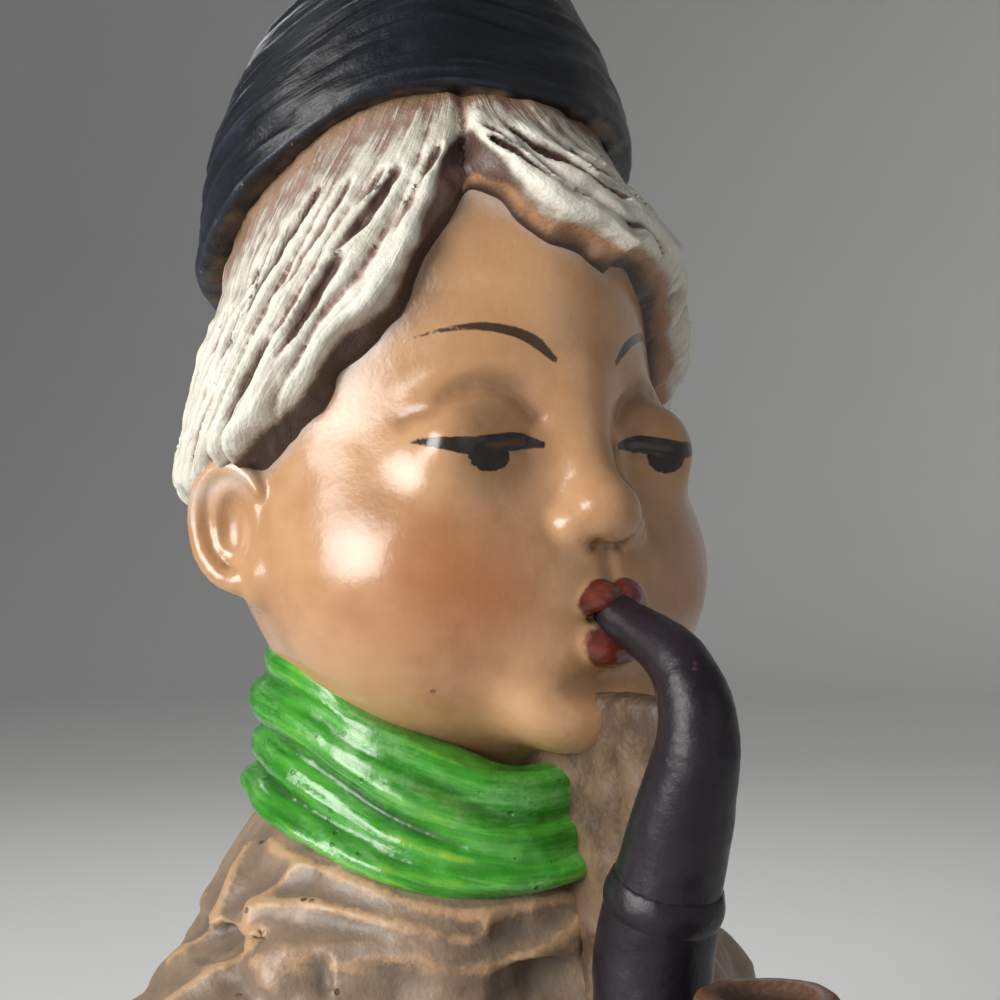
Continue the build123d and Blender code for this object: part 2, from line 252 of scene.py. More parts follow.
def meshNormals(points, quads):
    a, b, c, d = [points[quads[:, i]] for i in range(4)]
    across = np.cross(c - a, d - b)
    normals = np.zeros_like(points)
    for i in range(3):
        for corner in range(4):
            normals[:, i] += np.bincount(quads[:, corner], across[:, i], len(points))
    return normals / np.maximum(np.linalg.norm(normals, axis=1, keepdims=True), 1e-9)


def swelled(points, quads, height):
    return points + meshNormals(points, quads) * height[:, None]


def relaxed(points, quads, rounds, pull=0.5):
    here = quads.T.ravel()
    beside = np.roll(quads, -1, axis=1).T.ravel()
    starts = np.concatenate([here, beside])
    ends = np.concatenate([beside, here])
    links = np.maximum(np.bincount(starts, minlength=len(points)), 1)
    result = points.copy()
    for _ in range(rounds):
        for i in range(3):
            mean = np.bincount(starts, result[ends, i], len(points)) / links
            result[:, i] += pull * (mean - result[:, i])
    return result


def reliefOf(points, quads, rounds):
    # height of each point over its smoothed surroundings, in mm
    smooth = relaxed(points, quads, rounds)
    return np.sum((points - smooth) * meshNormals(smooth, quads), axis=1)


def strokeMark(points, path, radii):
    # how deep each point lies inside a tapered brush stroke, in mm
    best = np.full(len(points), unpainted)
    for a, b, ra, rb in zip(path, path[1:], radii, radii[1:]):
        t, dx, dy, dz = fromSegment(*points.T, a, b)
        best = np.maximum(best, ra + t * (rb - ra) - np.sqrt(dx * dx + dy * dy + dz * dz))
    return best


noiseTable = np.random.default_rng(11).random(256) * 2 - 1
noiseOrder = np.random.default_rng(12).permutation(256)


def softNoise(points, scale, seed=0):
    # smooth noise between -1 and 1 on points divided by scale, which may differ along each axis
    p = points / np.asarray(scale, float) + seed * 17.31
    cell = np.floor(p).astype(int)
    t = p - cell
    t = t * t * (3 - 2 * t)
    value = 0
    for i in (0, 1):
        for j in (0, 1):
            for k in (0, 1):
                a = noiseOrder[(cell[:, 0] + i) & 255]
                b = noiseOrder[(a + cell[:, 1] + j) & 255]
                c = noiseOrder[(b + cell[:, 2] + k) & 255]
                weight = np.abs(1 - i - t[:, 0]) * np.abs(1 - j - t[:, 1]) * np.abs(1 - k - t[:, 2])
                value = value + weight * noiseTable[c]
    return value


def layered(points, *layers):
    # layers of noise, each with its height in mm, scale and seed
    return sum(height * softNoise(points, scale, seed) for height, scale, seed in layers)


def addObject(name, data):
    made = bpy.data.objects.new(name, data)
    bpy.context.collection.objects.link(made)
    return made


def makeMesh(name, points, faces, material):
    mesh = bpy.data.meshes.new(name)
    mesh.from_pydata(points, [], faces)
    mesh.polygons.foreach_set("use_smooth", [True] * len(mesh.polygons))
    mesh.materials.append(material)
    return mesh


def enterPiece(name, mesh, nodes):
    piece = addObject(name, mesh)
    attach(piece, "root")
    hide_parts(*nodes)
    print(name, len(mesh.vertices), "points")
    return piece


def makePiece(name, points, quads, material, slotName, nodes, relief, **marks):
    # relief gives the rounds of smoothing for each mark that holds the height over the surroundings
    mesh = makeMesh(name, (points * mm).tolist(), quads.tolist(), material)
    for mark, rounds in relief.items():
        marks[mark] = reliefOf(points, quads, rounds)
    for mark, values in marks.items():
        layer = mesh.attributes.new(mark, "FLOAT", "POINT")
        layer.data.foreach_set("value", np.asarray(values, np.float32))
    mesh.validate()
    return enterPiece(name, mesh, nodes)


# Shader maths: a wrapped socket takes the operators, and an expression on values adds Math nodes.

class Ink:
    def __init__(self, paint, socket):
        self.paint = paint
        self.socket = socket

    def maths(self, operation, other):
        return self.paint.node("ShaderNodeMath", {"operation": operation}, {0: self, 1: other})

    def __add__(self, other):
        return self.maths("ADD", other)

    def __radd__(self, other):
        return self.maths("ADD", other)

    def __sub__(self, other):
        return self.maths("SUBTRACT", other)

    def __rsub__(self, other):
        return self.maths("MULTIPLY", -1.0).maths("ADD", other)

    def __mul__(self, other):
        return self.maths("MULTIPLY", other)

    def sway(self, share):
        # noise brought to both sides of nought
        return (self - 0.5) * share

    def over(self, low, high):
        # 0 below low, 1 above high, and smooth between
        return self.paint.node("ShaderNodeMapRange", {"interpolation_type": "SMOOTHSTEP"},
                               {"Value": self, "From Min": low, "From Max": high})

    def tint(self, low, high, first, second):
        # the first colour below low, the second above high
        return self.paint.blend(self.over(low, high), first, second)


class Paint:
    def __init__(self, name):
        self.material = bpy.data.materials.new(name)
        self.material.use_nodes = True
        self.tree = self.material.node_tree
        self.shader = self.tree.nodes["Principled BSDF"]
        self.place = self.node("ShaderNodeTexCoord", out="Object")
        self.colour = None

    def node(self, kind, settings=None, values=None, out=0):
        made = self.tree.nodes.new(kind)
        for key, value in (settings or {}).items():
            setattr(made, key, value)
        for key, value in (values or {}).items():
            self.feed(made.inputs[key], value)
        return Ink(self, made.outputs[out])

    def feed(self, socket, value):
        if isinstance(value, Ink):
            self.tree.links.new(value.socket, socket)
        elif isinstance(value, tuple) and len(value) == 3 and socket.type == "RGBA":
            socket.default_value = value + (1.0,)
        else:
            socket.default_value = value

    def mark(self, name):
        return self.node("ShaderNodeAttribute", {"attribute_name": name}, out="Fac")

    def mapped(self, scale, turn=(0, 0, 0)):
        return self.node("ShaderNodeMapping", None, {"Vector": self.place, "Rotation": turn, "Scale": scale})

    def grain(self, place, detail, rough):
        values = {"Vector": place, "Scale": 1.0, "Detail": detail, "Roughness": rough}
        return self.node("ShaderNodeTexNoise", None, values, "Fac")

    def noise(self, scale, detail=3.0, rough=0.55, stretch=(1, 1, 1), turn=(0, 0, 0)):
        # scale is cells per mm
        return self.grain(self.mapped(tuple(scale * 1000 * s for s in stretch), turn), detail, rough)

    def specks(self, perMm, size):
        # 1 inside small round specks, about one for each cell
        values = {"Vector": self.mapped((1000 * perMm,) * 3), "Scale": 1.0}
        return 1 - self.node("ShaderNodeTexVoronoi", None, values, "Distance").over(size * 0.6, size)

    def around(self, perMetre, level):
        # place for brush strokes that run round the figure along lines of equal level
        x = self.node("ShaderNodeSeparateXYZ", None, {0: self.place}, "X")
        y = self.node("ShaderNodeSeparateXYZ", None, {0: self.place}, "Y")
        return self.node("ShaderNodeCombineXYZ", None, {0: x * perMetre, 1: y * perMetre, 2: level})

    def blend(self, share, first, second):
        made = self.tree.nodes.new("ShaderNodeMix")
        made.data_type = "RGBA"
        self.feed(made.inputs["Factor"], share)
        sockets = [s for s in made.inputs if s.type == "RGBA"]
        self.feed(sockets[0], first)
        self.feed(sockets[1], second)
        return Ink(self, [s for s in made.outputs if s.type == "RGBA"][0])

    def lay(self, share, colour):
        # one more layer over the colour so far
        self.colour = self.blend(share, self.colour, colour)

    def finish(self, rough, height, depth, **sockets):
        # depth is the bump's height in mm
        values = {"Height": height, "Distance": depth * mm, "Strength": 1.0}
        self.feed(self.shader.inputs["Base Color"], self.colour)
        self.feed(self.shader.inputs["Roughness"], rough)
        self.feed(self.shader.inputs["Normal"], self.node("ShaderNodeBump", None, values, "Normal"))
        for key, value in sockets.items():
            self.feed(self.shader.inputs[key.replace("_", " ")], value)
        return self.material


print("tools ready")


skullTable = [  # height over the eyes, half width, reach to the front, reach to the back, swell of the cheeks
    (-40, 14.0, 14.0, 14.5, 0),
    (-35, 16.0, 18.5, 15.0, 0),
    (-30, 19.0, 24.0, 15.5, 0.4),
    (-24, 22.5, 27.2, 17.0, 1.2),
    (-15, 27.2, 28.4, 22.0, 1.4),
    (-5, 27.6, 27.4, 27.0, -0.5),
    (5, 26.6, 26.8, 29.5, -1.9),
    (16, 25.1, 26.2, 29.0, -2.3),
    (28, 22.6, 22.5, 27.0, -1.4),
    (39, 18.2, 16.2, 23.0, -0.4),
    (49, 10.5, 7.0, 15.0, 0),
]
face = {
    "clay": ((-37, -37, -47), (37, 34, 53), 0.49),  # corners of the block and grid step, here and below
    # balls: centre, radii, blend
    "muzzle": ((0, -24.0, -18.6), (10.5, 6.4, 8.6), 5.0),
    "chin": ((0, -25.4, -28.2), (9.8, 6.6, 6.0), 5.0),
    "chinGroove": ((0, -31.4, -26.0), (6.0, 2.2, 1.4), 4.5),
    "cheek": ((9.2, -9.0, -15.0), (17.4, 17.0, 17.0), 6.0),
    "eyeHollow": ((10.0, -32.4, 1.4), (7.4, 5.4, 5.6), 9.0),
    "eyeball": ((12.5, -19.6, 0.0), (6.8, 4.6, 5.2), 5.0),
    "eyeTurn": 31,
    "noseTip": ((0, -29.2, -7.4), (4.0, 3.6, 3.5), 2.4),
    "noseWing": ((3.7, -27.4, -8.8), (2.4, 2.8, 2.2), 1.4),
    "nostril": ((1.8, -30.4, -11.0), (1.0, 1.4, 0.8), 0.7),
    # rods: path, radii, blend
    "neck": ([(0, 0.3, -34), (0, 0.3, -46)], 14.0, 3.0),
    "noseBridge": ([(0, -23.4, 6.0), (0, -24.8, 0.0), (0, -28.2, -6.2)], [2.2, 2.5, 2.8], 5.0),
    "lipGroove": ([(0, -29.8, -11.2), (0, -31.4, -14.4)], [0.6, 0.8], 1.4),
    "mouthLine": ([(-4.9, -28.6, -18.5), (0, -32.2, -19.2), (4.9, -28.6, -18.5)], [0.3, 0.8, 0.3], 0.6),
    # upper and lower lip: middle line, then half heights of the clay and of the paint
    "lips": [
        ([(-5.2, -28.4, -18.2), (-2.2, -30.6, -16.6), (0, -30.9, -17.0), (2.2, -30.6, -16.6),
          (5.2, -28.4, -18.2)], [0.6, 1.6, 1.4, 1.6, 0.6], [1.0, 2.2, 2.0, 2.2, 1.0]),
        ([(-4.4, -28.4, -19.6), (-2.2, -30.2, -21.6), (0, -30.6, -22.0), (2.2, -30.2, -21.6),
          (4.4, -28.4, -19.6)], [0.6, 1.8, 2.0, 1.8, 0.6], [1.0, 2.3, 2.6, 2.3, 1.0]),
    ],
    # lines on the front of the face (across, up), and brush strokes (share of the way, half thickness)
    "lidLine": [(5.6, 0.2), (8.6, 0.5), (12.0, 0.2), (15.5, -0.1), (19.6, 0.4)],
    "lidStroke": ([0, 0.25, 0.55, 0.8, 1], [0.40, 1.0, 1.05, 0.95, 0.42]),
    "lidCrease": [(6.0, 3.2), (8.6, 5.8), (12.2, 6.6), (16.0, 5.2), (19.6, 2.0)],
    "creaseShadeStroke": ([0, 0.3, 0.7, 1], [0.6, 1.1, 0.9, 0.4]),
    "brow": [(4.4, 9.4), (7.0, 11.6), (10.4, 12.8), (13.6, 12.8), (17.0, 11.8)],
    "browStroke": ([0, 0.2, 0.6, 1], [0.36, 0.66, 0.46, 0.12]),
    "lidFade": ([0, 0.2, 0.6, 1], [0.4, 1, 0.9, 0]),
    "temple": ((22.4, -15.0, 1.5), (6.5, 8.0, 8.0)),  # where the skin is smoothed: centre, reach
    "blush": (17.0, -15.5, 11.0),                     # across, up, reach
    "ear": (27.6, 1.0, -9.4),
    "earFlare": 20,                                   # degrees
    "earLean": 10,
    "lumps": [(0.10, 7.0, 1), (0.035, 2.4, 2)],       # layers of noise
}


def onFront(clay, line, side):
    # points of the skin straight in front of a curve through spots given as (across, up)
    path = []
    for across, up in curveThrough(line):
        across = side * across
        i = int(round((across - clay.low[0]) / clay.step))
        k = int(round((up - clay.low[2]) / clay.step))
        column = clay.distance[i, :, k]
        j = max(int(np.argmax(column < 0)), 1)
        share = column[j - 1] / (column[j - 1] - column[j])
        path.append((across, clay.low[1] + clay.step * (j - 1 + share), up))
    return np.array(path)


def sided(name, side):
    (across, depth, up), radii, blend = face[name]
    return (side * across, depth, up), radii, blend


def pressEar(clay, side):
    flare = math.radians(face["earFlare"])
    lean = math.radians(face["earLean"])
    centre = np.array(face["ear"]) * (side, 1, 1)
    outward = np.array((side * math.cos(flare), -math.sin(flare), 0))
    level = np.array((side * math.sin(flare), math.cos(flare), 0))
    upright = np.array((0, 0, 1.0))
    back = level * math.cos(lean) - upright * math.sin(lean)
    up = upright * math.cos(lean) + level * math.sin(lean)

    def spot(o, b, u):
        return centre + o * outward + b * back + u * up

    lobe = [spot(0.0, 0.6, 4.0), spot(0.2, 0.8, 0), spot(-0.2, -1.6, -5.6)]
    clay.rod(lobe, [4.8, 4.4, 3.0], 1.6, flat=(outward, 0.5))
    rim = []
    for step in range(17):
        turn = math.radians(155 - 235 * step / 16)
        rim.append(spot(1.8, 0.6 + 5.0 * math.cos(turn), 0.8 + 6.6 * math.sin(turn)))
    clay.rod(rim, np.interp(np.arange(17), [0, 3, 12, 16], [0.7, 1.3, 1.4, 1.1]), 0.7)
    clay.ball(spot(0.7, -1.5, -5.8), (1.9, 2.4, 2.8), 2.6)
    clay.ball(spot(2.6, 0.0, 0.6), (1.9, 2.9, 4.0), 1.0, smoothCarve)


def shapeFace():
    clay = Clay(*face["clay"])
    clay.press(lambda x, y, z: loftDistance(x, y, z, skullTable))
    clay.even()
    clay.rod(*face["neck"])
    clay.ball(*face["muzzle"])
    clay.ball(*face["chin"])
    for side in sides:
        clay.ball(*sided("cheek", side))
        clay.ball(*sided("eyeHollow", side), smoothCarve)
        clay.ball(*sided("eyeball", side), turn=-side * face["eyeTurn"])
    clay.rod(*face["noseBridge"])
    clay.ball(*face["noseTip"])
    for side in sides:
        clay.ball(*sided("noseWing", side))
    clay.ball(*face["chinGroove"], smoothCarve)
    clay.rod(*face["lipGroove"], smoothCarve)
    for line, full, painted in face["lips"]:
        clay.rod(curveThrough(line, 4), curveThrough(np.transpose([full]), 4)[:, 0], 0.9)
    clay.rod(*face["mouthLine"], smoothCarve)
    return clay


def sculptHead(material):
    clay = shapeFace()
    paths = {}
    for side in sides:
        clay.ball(*sided("nostril", side), smoothCarve)
        lid = onFront(clay, face["lidLine"], side)
        crease = onFront(clay, face["lidCrease"], side)
        fade = taper(len(lid), *face["lidFade"])
        lifted = 1 + (0.08, 0.08, 0) * (1 - fade[:, None])
        clay.rod(crease, 0.4 * fade, 2.0, smoothCarve)
        clay.rod((lid + (0, -0.15, -0.75)) * lifted, 0.5 * fade, 0.7, smoothCarve)
        clay.rod((lid + (0, 0.35, 0.35)) / lifted, 0.6 * fade, 0.5)
        pressEar(clay, side)
        paths[side] = lid, crease
    points, quads = clay.skin()
    smooth = relaxed(points, quads, 80)
    centre, reach = face["temple"]
    for side in sides:
        near = np.linalg.norm((points - np.array(centre) * (side, 1, 1)) / reach, axis=1)
        points += (smooth - points) * np.exp(-near ** 4)[:, None]
    points = swelled(points, quads, layered(points, *face["lumps"]))
    x, y, z = points.T
    marks = {name: np.full(len(points), unpainted) for name in ("brow", "lid", "crease", "pupil", "lips")}

    def dab(name, depth):
        marks[name] = np.maximum(marks[name], depth)

    blush = 0
    squeeze = np.array((1, 0.4, 1))
    for side in sides:
        lid, crease = paths[side]
        count = len(lid)
        stroke = taper(count, *face["lidStroke"])
        dab("lid", strokeMark(points * squeeze, (lid + (0, 0, -0.1)) * squeeze, stroke))
        dab("brow", strokeMark(points, onFront(clay, face["brow"], side), taper(count, *face["browStroke"])))
        # The crease stroke marks painted shade along the lid crease.
        dab("crease", strokeMark(points, crease + (0, 0, 0.4), taper(count, *face["creaseShadeStroke"])))
        pupil = lid[int(count * 0.52)] + (0.3 * side, 0, -1.2)
        gap = np.linalg.norm((points - pupil) * (0.74, 0.45, 1.1), axis=1)
        below = np.interp(side * x, side * lid[:, 0], lid[:, 2]) - z
        dab("pupil", np.where(y < -10, np.minimum(2.1 - gap, below), unpainted))
        across, up, reach = face["blush"]
        gap = np.hypot(side * x - across, z - up) / reach
        blush = blush + np.exp(-gap * gap) * (y < 2)
    for line, full, painted in face["lips"]:
        dab("lips", strokeMark(points, curveThrough(line, 4), taper(17, [0, 0.3, 0.5, 0.7, 1], painted)))
    gap = lookUp(hairShape["edge"], turnOf(x, y)) - z
    haze = np.exp(-np.abs(gap) / 2.2) * smoothStep(np.hypot(x, y), 14, 18)
    makePiece("head", points + eyeLevel, quads, material, "flesh_paint", ["head_casting"], {"hollow": 40},
              blush=blush, haze=haze, **marks)


def fleshPaint():
    p = Paint("fleshPaint")
    hollow = p.mark("hollow")
    mottle = p.noise(0.12, 4)
    fine = p.noise(1.6, 3)
    p.colour = mottle.tint(0.35, 0.7, (0.51, 0.290, 0.145), (0.42, 0.225, 0.105))
    p.lay((p.mark("blush") * 0.85 + mottle.sway(0.3)).over(0.15, 0.95) * 0.75, (0.37, 0.125, 0.045))
    # Darker brown in the hollows of the face: painted shade.
    hollowShade = (fine.sway(0.12) - hollow).over(0.16, 0.75)
    p.lay(hollowShade * 0.75, (0.20, 0.085, 0.035))
    haze = p.mark("haze") * 0.8 + mottle.sway(0.9) + fine.sway(0.4)
    p.lay(haze.over(0.22, 0.85) * 0.6, (0.56, 0.47, 0.42))
    edge = fine.sway(0.35)
    # Soft dark brown along the lid crease: painted shade.
    p.lay((p.mark("crease") + edge).over(-1.6, 0.9) * 0.62, (0.17, 0.075, 0.032))
    # The lips' dull red is darker than their paint alone: partly their own red, partly painted shade over the
    # mouth.
    red = p.noise(0.7).tint(0.4, 0.65, (0.14, 0.014, 0.008), (0.075, 0.008, 0.006))
    p.lay((p.mark("lips") + edge).over(-0.12, 0.18) * 0.95, red)
    p.lay((p.mark("brow") + edge * 0.6).over(-0.10, 0.12) * 0.92, (0.016, 0.009, 0.008))
    dark = p.mark("lid").maths("MAXIMUM", p.mark("pupil") + edge * 1.2)
    p.lay((dark + edge * 0.8).over(-0.10, 0.10) * 0.97, (0.010, 0.008, 0.008))
    specks = p.specks(0.16, 0.07) * p.noise(0.09).over(0.52, 0.60)
    p.lay(specks * 0.7, (0.10, 0.05, 0.03))
    rough = 0.24 + p.noise(0.35, 4).sway(0.16) + hollowShade * 0.25
    height = p.noise(0.5, 4, 0.5) * 0.6 + fine * 0.25 - specks * 0.5
    return p.finish(rough, height, 0.10, Coat_Weight=0.35, Coat_Roughness=0.12)


hairShape = {
    "clay": ((-37, -35, -15), (37, 38, 43), 0.45),
    "parting": -32.0,       # degrees from the front
    "edge": [               # lower edge at the scalp: degrees from the front, height over the eyes
        (-180, -10), (-150, -9), (-127, -8.2), (-115, -7.4), (-104, -6.4), (-90, -3.4), (-79, -0.9),
        (-69, 4.2), (-64, 8.4), (-56, 10.8), (-49, 14.4), (-40, 22.6), (-30, 28.4), (-21, 26.8), (-10, 22.4),
        (0, 21.2), (7, 19.4), (12, 20.6), (22, 19.6), (30, 18.8), (40, 17.2), (50, 15.2), (62, 11.8),
        (75, 6.6), (85, 1.8), (104, -4.8), (127, -8.2), (150, -9), (180, -10)],
    "sweep": (44.0, 62.0),  # degrees that the first lock runs along the edge, on the figure's right and left
    "lock": 10.5,           # degrees
    "run": 20,              # mm that a lock is long
    "strand": 2.6,
    "root": 2.0,            # mm over the skull
    "tip": 2.3,             # more at the tips
    "relief": 2.0,
    "overhang": 3.2,        # mm that the outer edge is cut higher than the edge at the scalp
    "flat": (48, 38, 0.7),  # where the roots lie flatter: degrees from the front, spread, share
    "leftMark": 400.0,      # added to the strands on the left of the parting
    # grooves that open and close: strand at both ends, how far down both are, half width in degrees, depth
    "flutesRight": [
        (12.8, 14.2, 0.38, 0.62, 1.5, 2.0), (13.6, 12.0, 0.63, 0.80, 1.3, 1.7),
        (34.6, 41.0, 0.22, 0.64, 1.8, 1.9), (46.5, 53.5, 0.33, 0.44, 1.4, 1.2),
        (55.0, 68.0, 0.38, 0.60, 1.5, 1.2), (4.0, 5.0, 0.46, 0.63, 0.9, 1.2),
        (6.3, 6.0, 0.57, 0.70, 0.8, 1.0), (16.2, 17.2, 0.34, 0.46, 1.1, 1.2),
        (24.0, 25.0, 0.30, 0.55, 1.2, 1.2), (22.0, 21.0, 0.66, 0.90, 1.4, 1.4),
        (0.0, 0.0, 0.45, 1.1, 2.2, 2.6)],
    "flutesLeft": [
        (3.4, 10.6, 0.56, 0.82, 1.1, 2.2), (11.0, 18.4, 0.34, 0.70, 1.5, 2.2),
        (5.0, 6.8, 0.44, 0.57, 0.9, 1.2), (24.0, 27.0, 0.36, 0.74, 1.5, 1.8),
        (0.0, 0.0, 0.45, 1.1, 2.2, 2.6)],
    "moreFlutes": (26, 41),  # on each side past the fringe: how many, seed
}


def brimHump(turn):
    # the cap's edge rises over the parting and dips over the other temple
    return 2.6 * np.exp(-((turn + 58) / 34) ** 2) - 0.8 * np.exp(-((turn - 10) / 30) ** 2)


def hairFlow(x, y, z):
    # follows the combed locks from the cap down: strand is where a lock starts, along how far down it is
    turn = turnOf(x, y)
    slope = math.tan(math.radians(capShape["brimSlope"]))
    brim = capShape["brimHeight"] - slope * y + brimHump(turn)
    edge = lookUp(hairShape["edge"], turn)
    along = np.clip((brim - z) / np.maximum(brim - edge, 4), -0.2, 1.3)
    away = (turn - hairShape["parting"] + 180) % 360 - 180
    sweep = np.where(away < 0, *hairShape["sweep"])
    away = np.abs(away)
    past = away - sweep
    last = 0.5 * (past + np.sqrt(past * past + 60)) * 180 / (180 - sweep)
    strand = away - np.clip(along, 0, 1) ** 1.15 * (away - last)
    side = np.where(turn < hairShape["parting"], 0.0, hairShape["leftMark"])
    return strand, along, edge, away, side, smoothStep(past, -8, 25)


def lockValue(strand, side, seed):
    # a fixed random number between 0 and 1 for each lock
    index = (np.floor(strand / hairShape["lock"]) + side + 37 * seed).astype(int) & 255
    return (noiseTable[noiseOrder[index]] + 1) / 2


def allFlutes(listed, seed):
    count, firstSeed = hairShape["moreFlutes"]
    draw = np.random.default_rng(firstSeed + seed)
    rows = list(listed)
    for i in range(count):
        strand = 30 + 150 * (i + draw.random()) / count
        start = 0.10 + 0.40 * draw.random()
        drift = draw.uniform(-2, 5)
        rows.append((strand, strand + drift, start, start + draw.uniform(0.25, 0.65), draw.uniform(0.7, 1.5),
                     draw.uniform(0.5, 1.3)))
    return rows


def fluteDepth(strand, along, side):
    # depth of the grooves between the locks, in mm
    depth = np.zeros_like(strand)
    for mark, listed in ((0.0, "flutesRight"), (hairShape["leftMark"], "flutesLeft")):
        here = np.flatnonzero(side == mark)
        s, a = strand[here], along[here]
        deepest = np.zeros_like(s)
        for first, last, start, end, half, deep in allFlutes(hairShape[listed], int(mark)):
            t = np.clip((a - start) / (end - start), 0, 1)
            bow = np.sin(np.pi * t ** 0.8)
            gap = np.abs(s - first - (last - first) * t) / (2.2 * half * bow ** 0.6 + 1e-3)
            deepest = np.maximum(deepest, 1.15 * deep * smoothStep(1 - gap, 0, 0.9) * bow ** 0.5)
        depth[here] = deepest
    return depth


def hairLift(x, y, z):
    # thickness over the skull at each point, with the depth of the grooves and the place along the locks
    shape = hairShape
    strand, along, edge, away, side, jagged = hairFlow(x, y, z)
    spots = np.stack([strand, along * shape["run"], side], axis=1)
    flutes = fluteDepth(strand + 0.7 * softNoise(spots, (7, 7, 1), 8), along, side)
    wavy = strand + layered(spots, (4.0, (15, 26, 1), 3), (0.8, (5, 9, 1), 9))
    lock = np.abs(np.sin(np.pi * wavy / shape["lock"])) ** 0.6
    fine = np.abs(np.sin(np.pi * (wavy + 0.7 * softNoise(spots, (4, 9, 1), 4)) / shape["strand"]))
    size = 0.5 + 0.8 * lockValue(wavy, side, 1)
    down = smoothStep(along, 0.02, 0.9)
    middle, spread, share = shape["flat"]
    flat = share * np.exp(-((turnOf(x, y) - middle) / spread) ** 2)
    lift = shape["root"] * (1 - flat) + shape["tip"] * (1 + 1.1 * flat) * down ** 2
    lift += shape["relief"] * smoothStep(along, 0.05, 0.6) * lock * size
    lift += (0.05 + 0.22 * down) * fine * (0.5 + 0.5 * softNoise(spots, (6, 8, 1), 10))
    lift = np.maximum(lift - flutes, 0.5)
    lift *= 0.5 + 0.5 * smoothStep(away, 0, 5)
    tip = edge + jagged * (0.8 - 1.4 * lock * size + 1.2 * (lockValue(wavy, side, 2) - 0.5))
    tip = tip + 0.7 * softNoise(np.stack([x, y, z], axis=1), 3.6, 15)
    return lift, tip, flutes, strand + side, along


def sculptHair(material):
    shape = hairShape
    clay = Clay(*shape["clay"])
    x, y, z = np.broadcast_arrays(*clay.points(clay.everywhere()))
    skull = loftDistance(x, y, z, skullTable)
    near = np.abs(skull - 2) < 7
    x, y, z, skull = x[near], y[near], z[near], skull[near]
    lift, tip = hairLift(x, y, z)[:2]
    turns, heights = np.array(shape["edge"], float).T
    steep = np.interp(turnOf(x, y), turns, np.gradient(heights, turns)) / math.radians(30)
    cut = tip + shape["overhang"] * np.clip(skull / np.maximum(lift, 2.0), -0.2, 1.2)
    shell = smoothClip(skull - lift, -1.6 - skull, 0.2)
    shell = smoothClip(shell, (cut - z) / np.sqrt(1.6 + steep ** 2), 1.3)
    clay.distance[near] = np.maximum(shell, overBrim(x, y, z) - 0.9)
    points, quads = clay.skin()
    points = relaxed(points, quads, 1, 0.3)
    lift, tip, flutes, strand, along = hairLift(*points.T)
    under = (lift - loftDistance(*points.T, skullTable)) / np.maximum(lift, 1.5)
    down = along * shape["run"]
    spots = np.stack([strand, down, 0 * strand], axis=1)
    comb = layered(spots, (0.10, (1.1, 9, 1), 5), (0.10, (2.0, 5, 1), 6))
    comb += layered(points, (0.20, 1.5, 7), (0.36, 3.4, 12))
    points = swelled(points, quads, comb)
    makePiece("hairLocks", points + eyeLevel, quads, material, "hair_paint", ["hair"],
              {"ridge": 5, "hollow": 30}, strand=strand, along=down, flute=flutes, under=under)


def hairPaint():
    p = Paint("hairPaint")
    ridge, hollow, under, along, strand, flute = [
        p.mark(name) for name in ("ridge", "hollow", "under", "along", "strand", "flute")]
    flow = p.node("ShaderNodeCombineXYZ", None, {0: strand * 0.95, 1: along * 0.16})
    streak = p.grain(flow, 5.0, 0.62)
    fine = p.noise(2.2, 3)
    patch = p.noise(0.16, 4)
    brush = ridge * 2.2 + hollow * 0.5 + streak.sway(1.7) + patch.sway(0.9) + fine.sway(0.4)
    brush = brush + along.over(0.0, 8.0) * 0.85 - 0.38
    cover = brush.over(-0.36, 0.26)
    p.colour = patch.tint(0.38, 0.62, (0.25, 0.145, 0.105), (0.36, 0.235, 0.185))
    p.lay(cover, streak.tint(0.32, 0.70, (0.49, 0.44, 0.365), (0.60, 0.575, 0.485)))
    p.lay(brush.over(0.25, 0.85) * 0.8, (0.74, 0.72, 0.62))
    band = 1 - (along + fine.sway(2.2) + streak.sway(3.0)).over(0.6, 2.4)
    p.lay(band * 0.9, patch.tint(0.4, 0.6, (0.20, 0.125, 0.066), (0.31, 0.18, 0.095)))
    # Darker brown in the hollows between the locks: painted shade.
    valleyShade = hollow * -0.9 - ridge * 0.9 + flute * 0.4 + streak.sway(1.3) + p.noise(0.3, 4).sway(1.2)
    p.lay(valleyShade.over(0.0, 0.75) * 0.75, patch.tint(0.4, 0.6, (0.20, 0.125, 0.088), (0.27, 0.165, 0.125)))
    # Near black in the flutes: painted shade deep in the grooves.
    deep = (flute * 0.62 - hollow * 0.35 + streak.sway(0.9) + fine.sway(0.4)).over(0.40, 1.15)
    p.lay(deep * 0.9, patch.tint(0.4, 0.6, (0.052, 0.022, 0.016), (0.105, 0.048, 0.034)))
    # The unpainted underside of the overhang is peach, darkening to near black as painted shadow, less so on
    # the left of the parting.
    shade = under + patch.sway(0.5) + 0.30 - strand.over(300, 390) * 0.36
    below = (under + fine.sway(0.15)).over(0.28, 0.50)
    p.lay(below * 0.95, shade.tint(0.45, 0.85, (0.36, 0.185, 0.09), (0.040, 0.019, 0.011)))
    rough = 0.60 - cover * 0.12 + fine.sway(0.2)
    height = streak * 0.9 + fine * 0.5 + p.noise(0.7, 4) * 0.9 + cover * 0.35
    return p.finish(rough, height, 0.24, Coat_Weight=0.05)


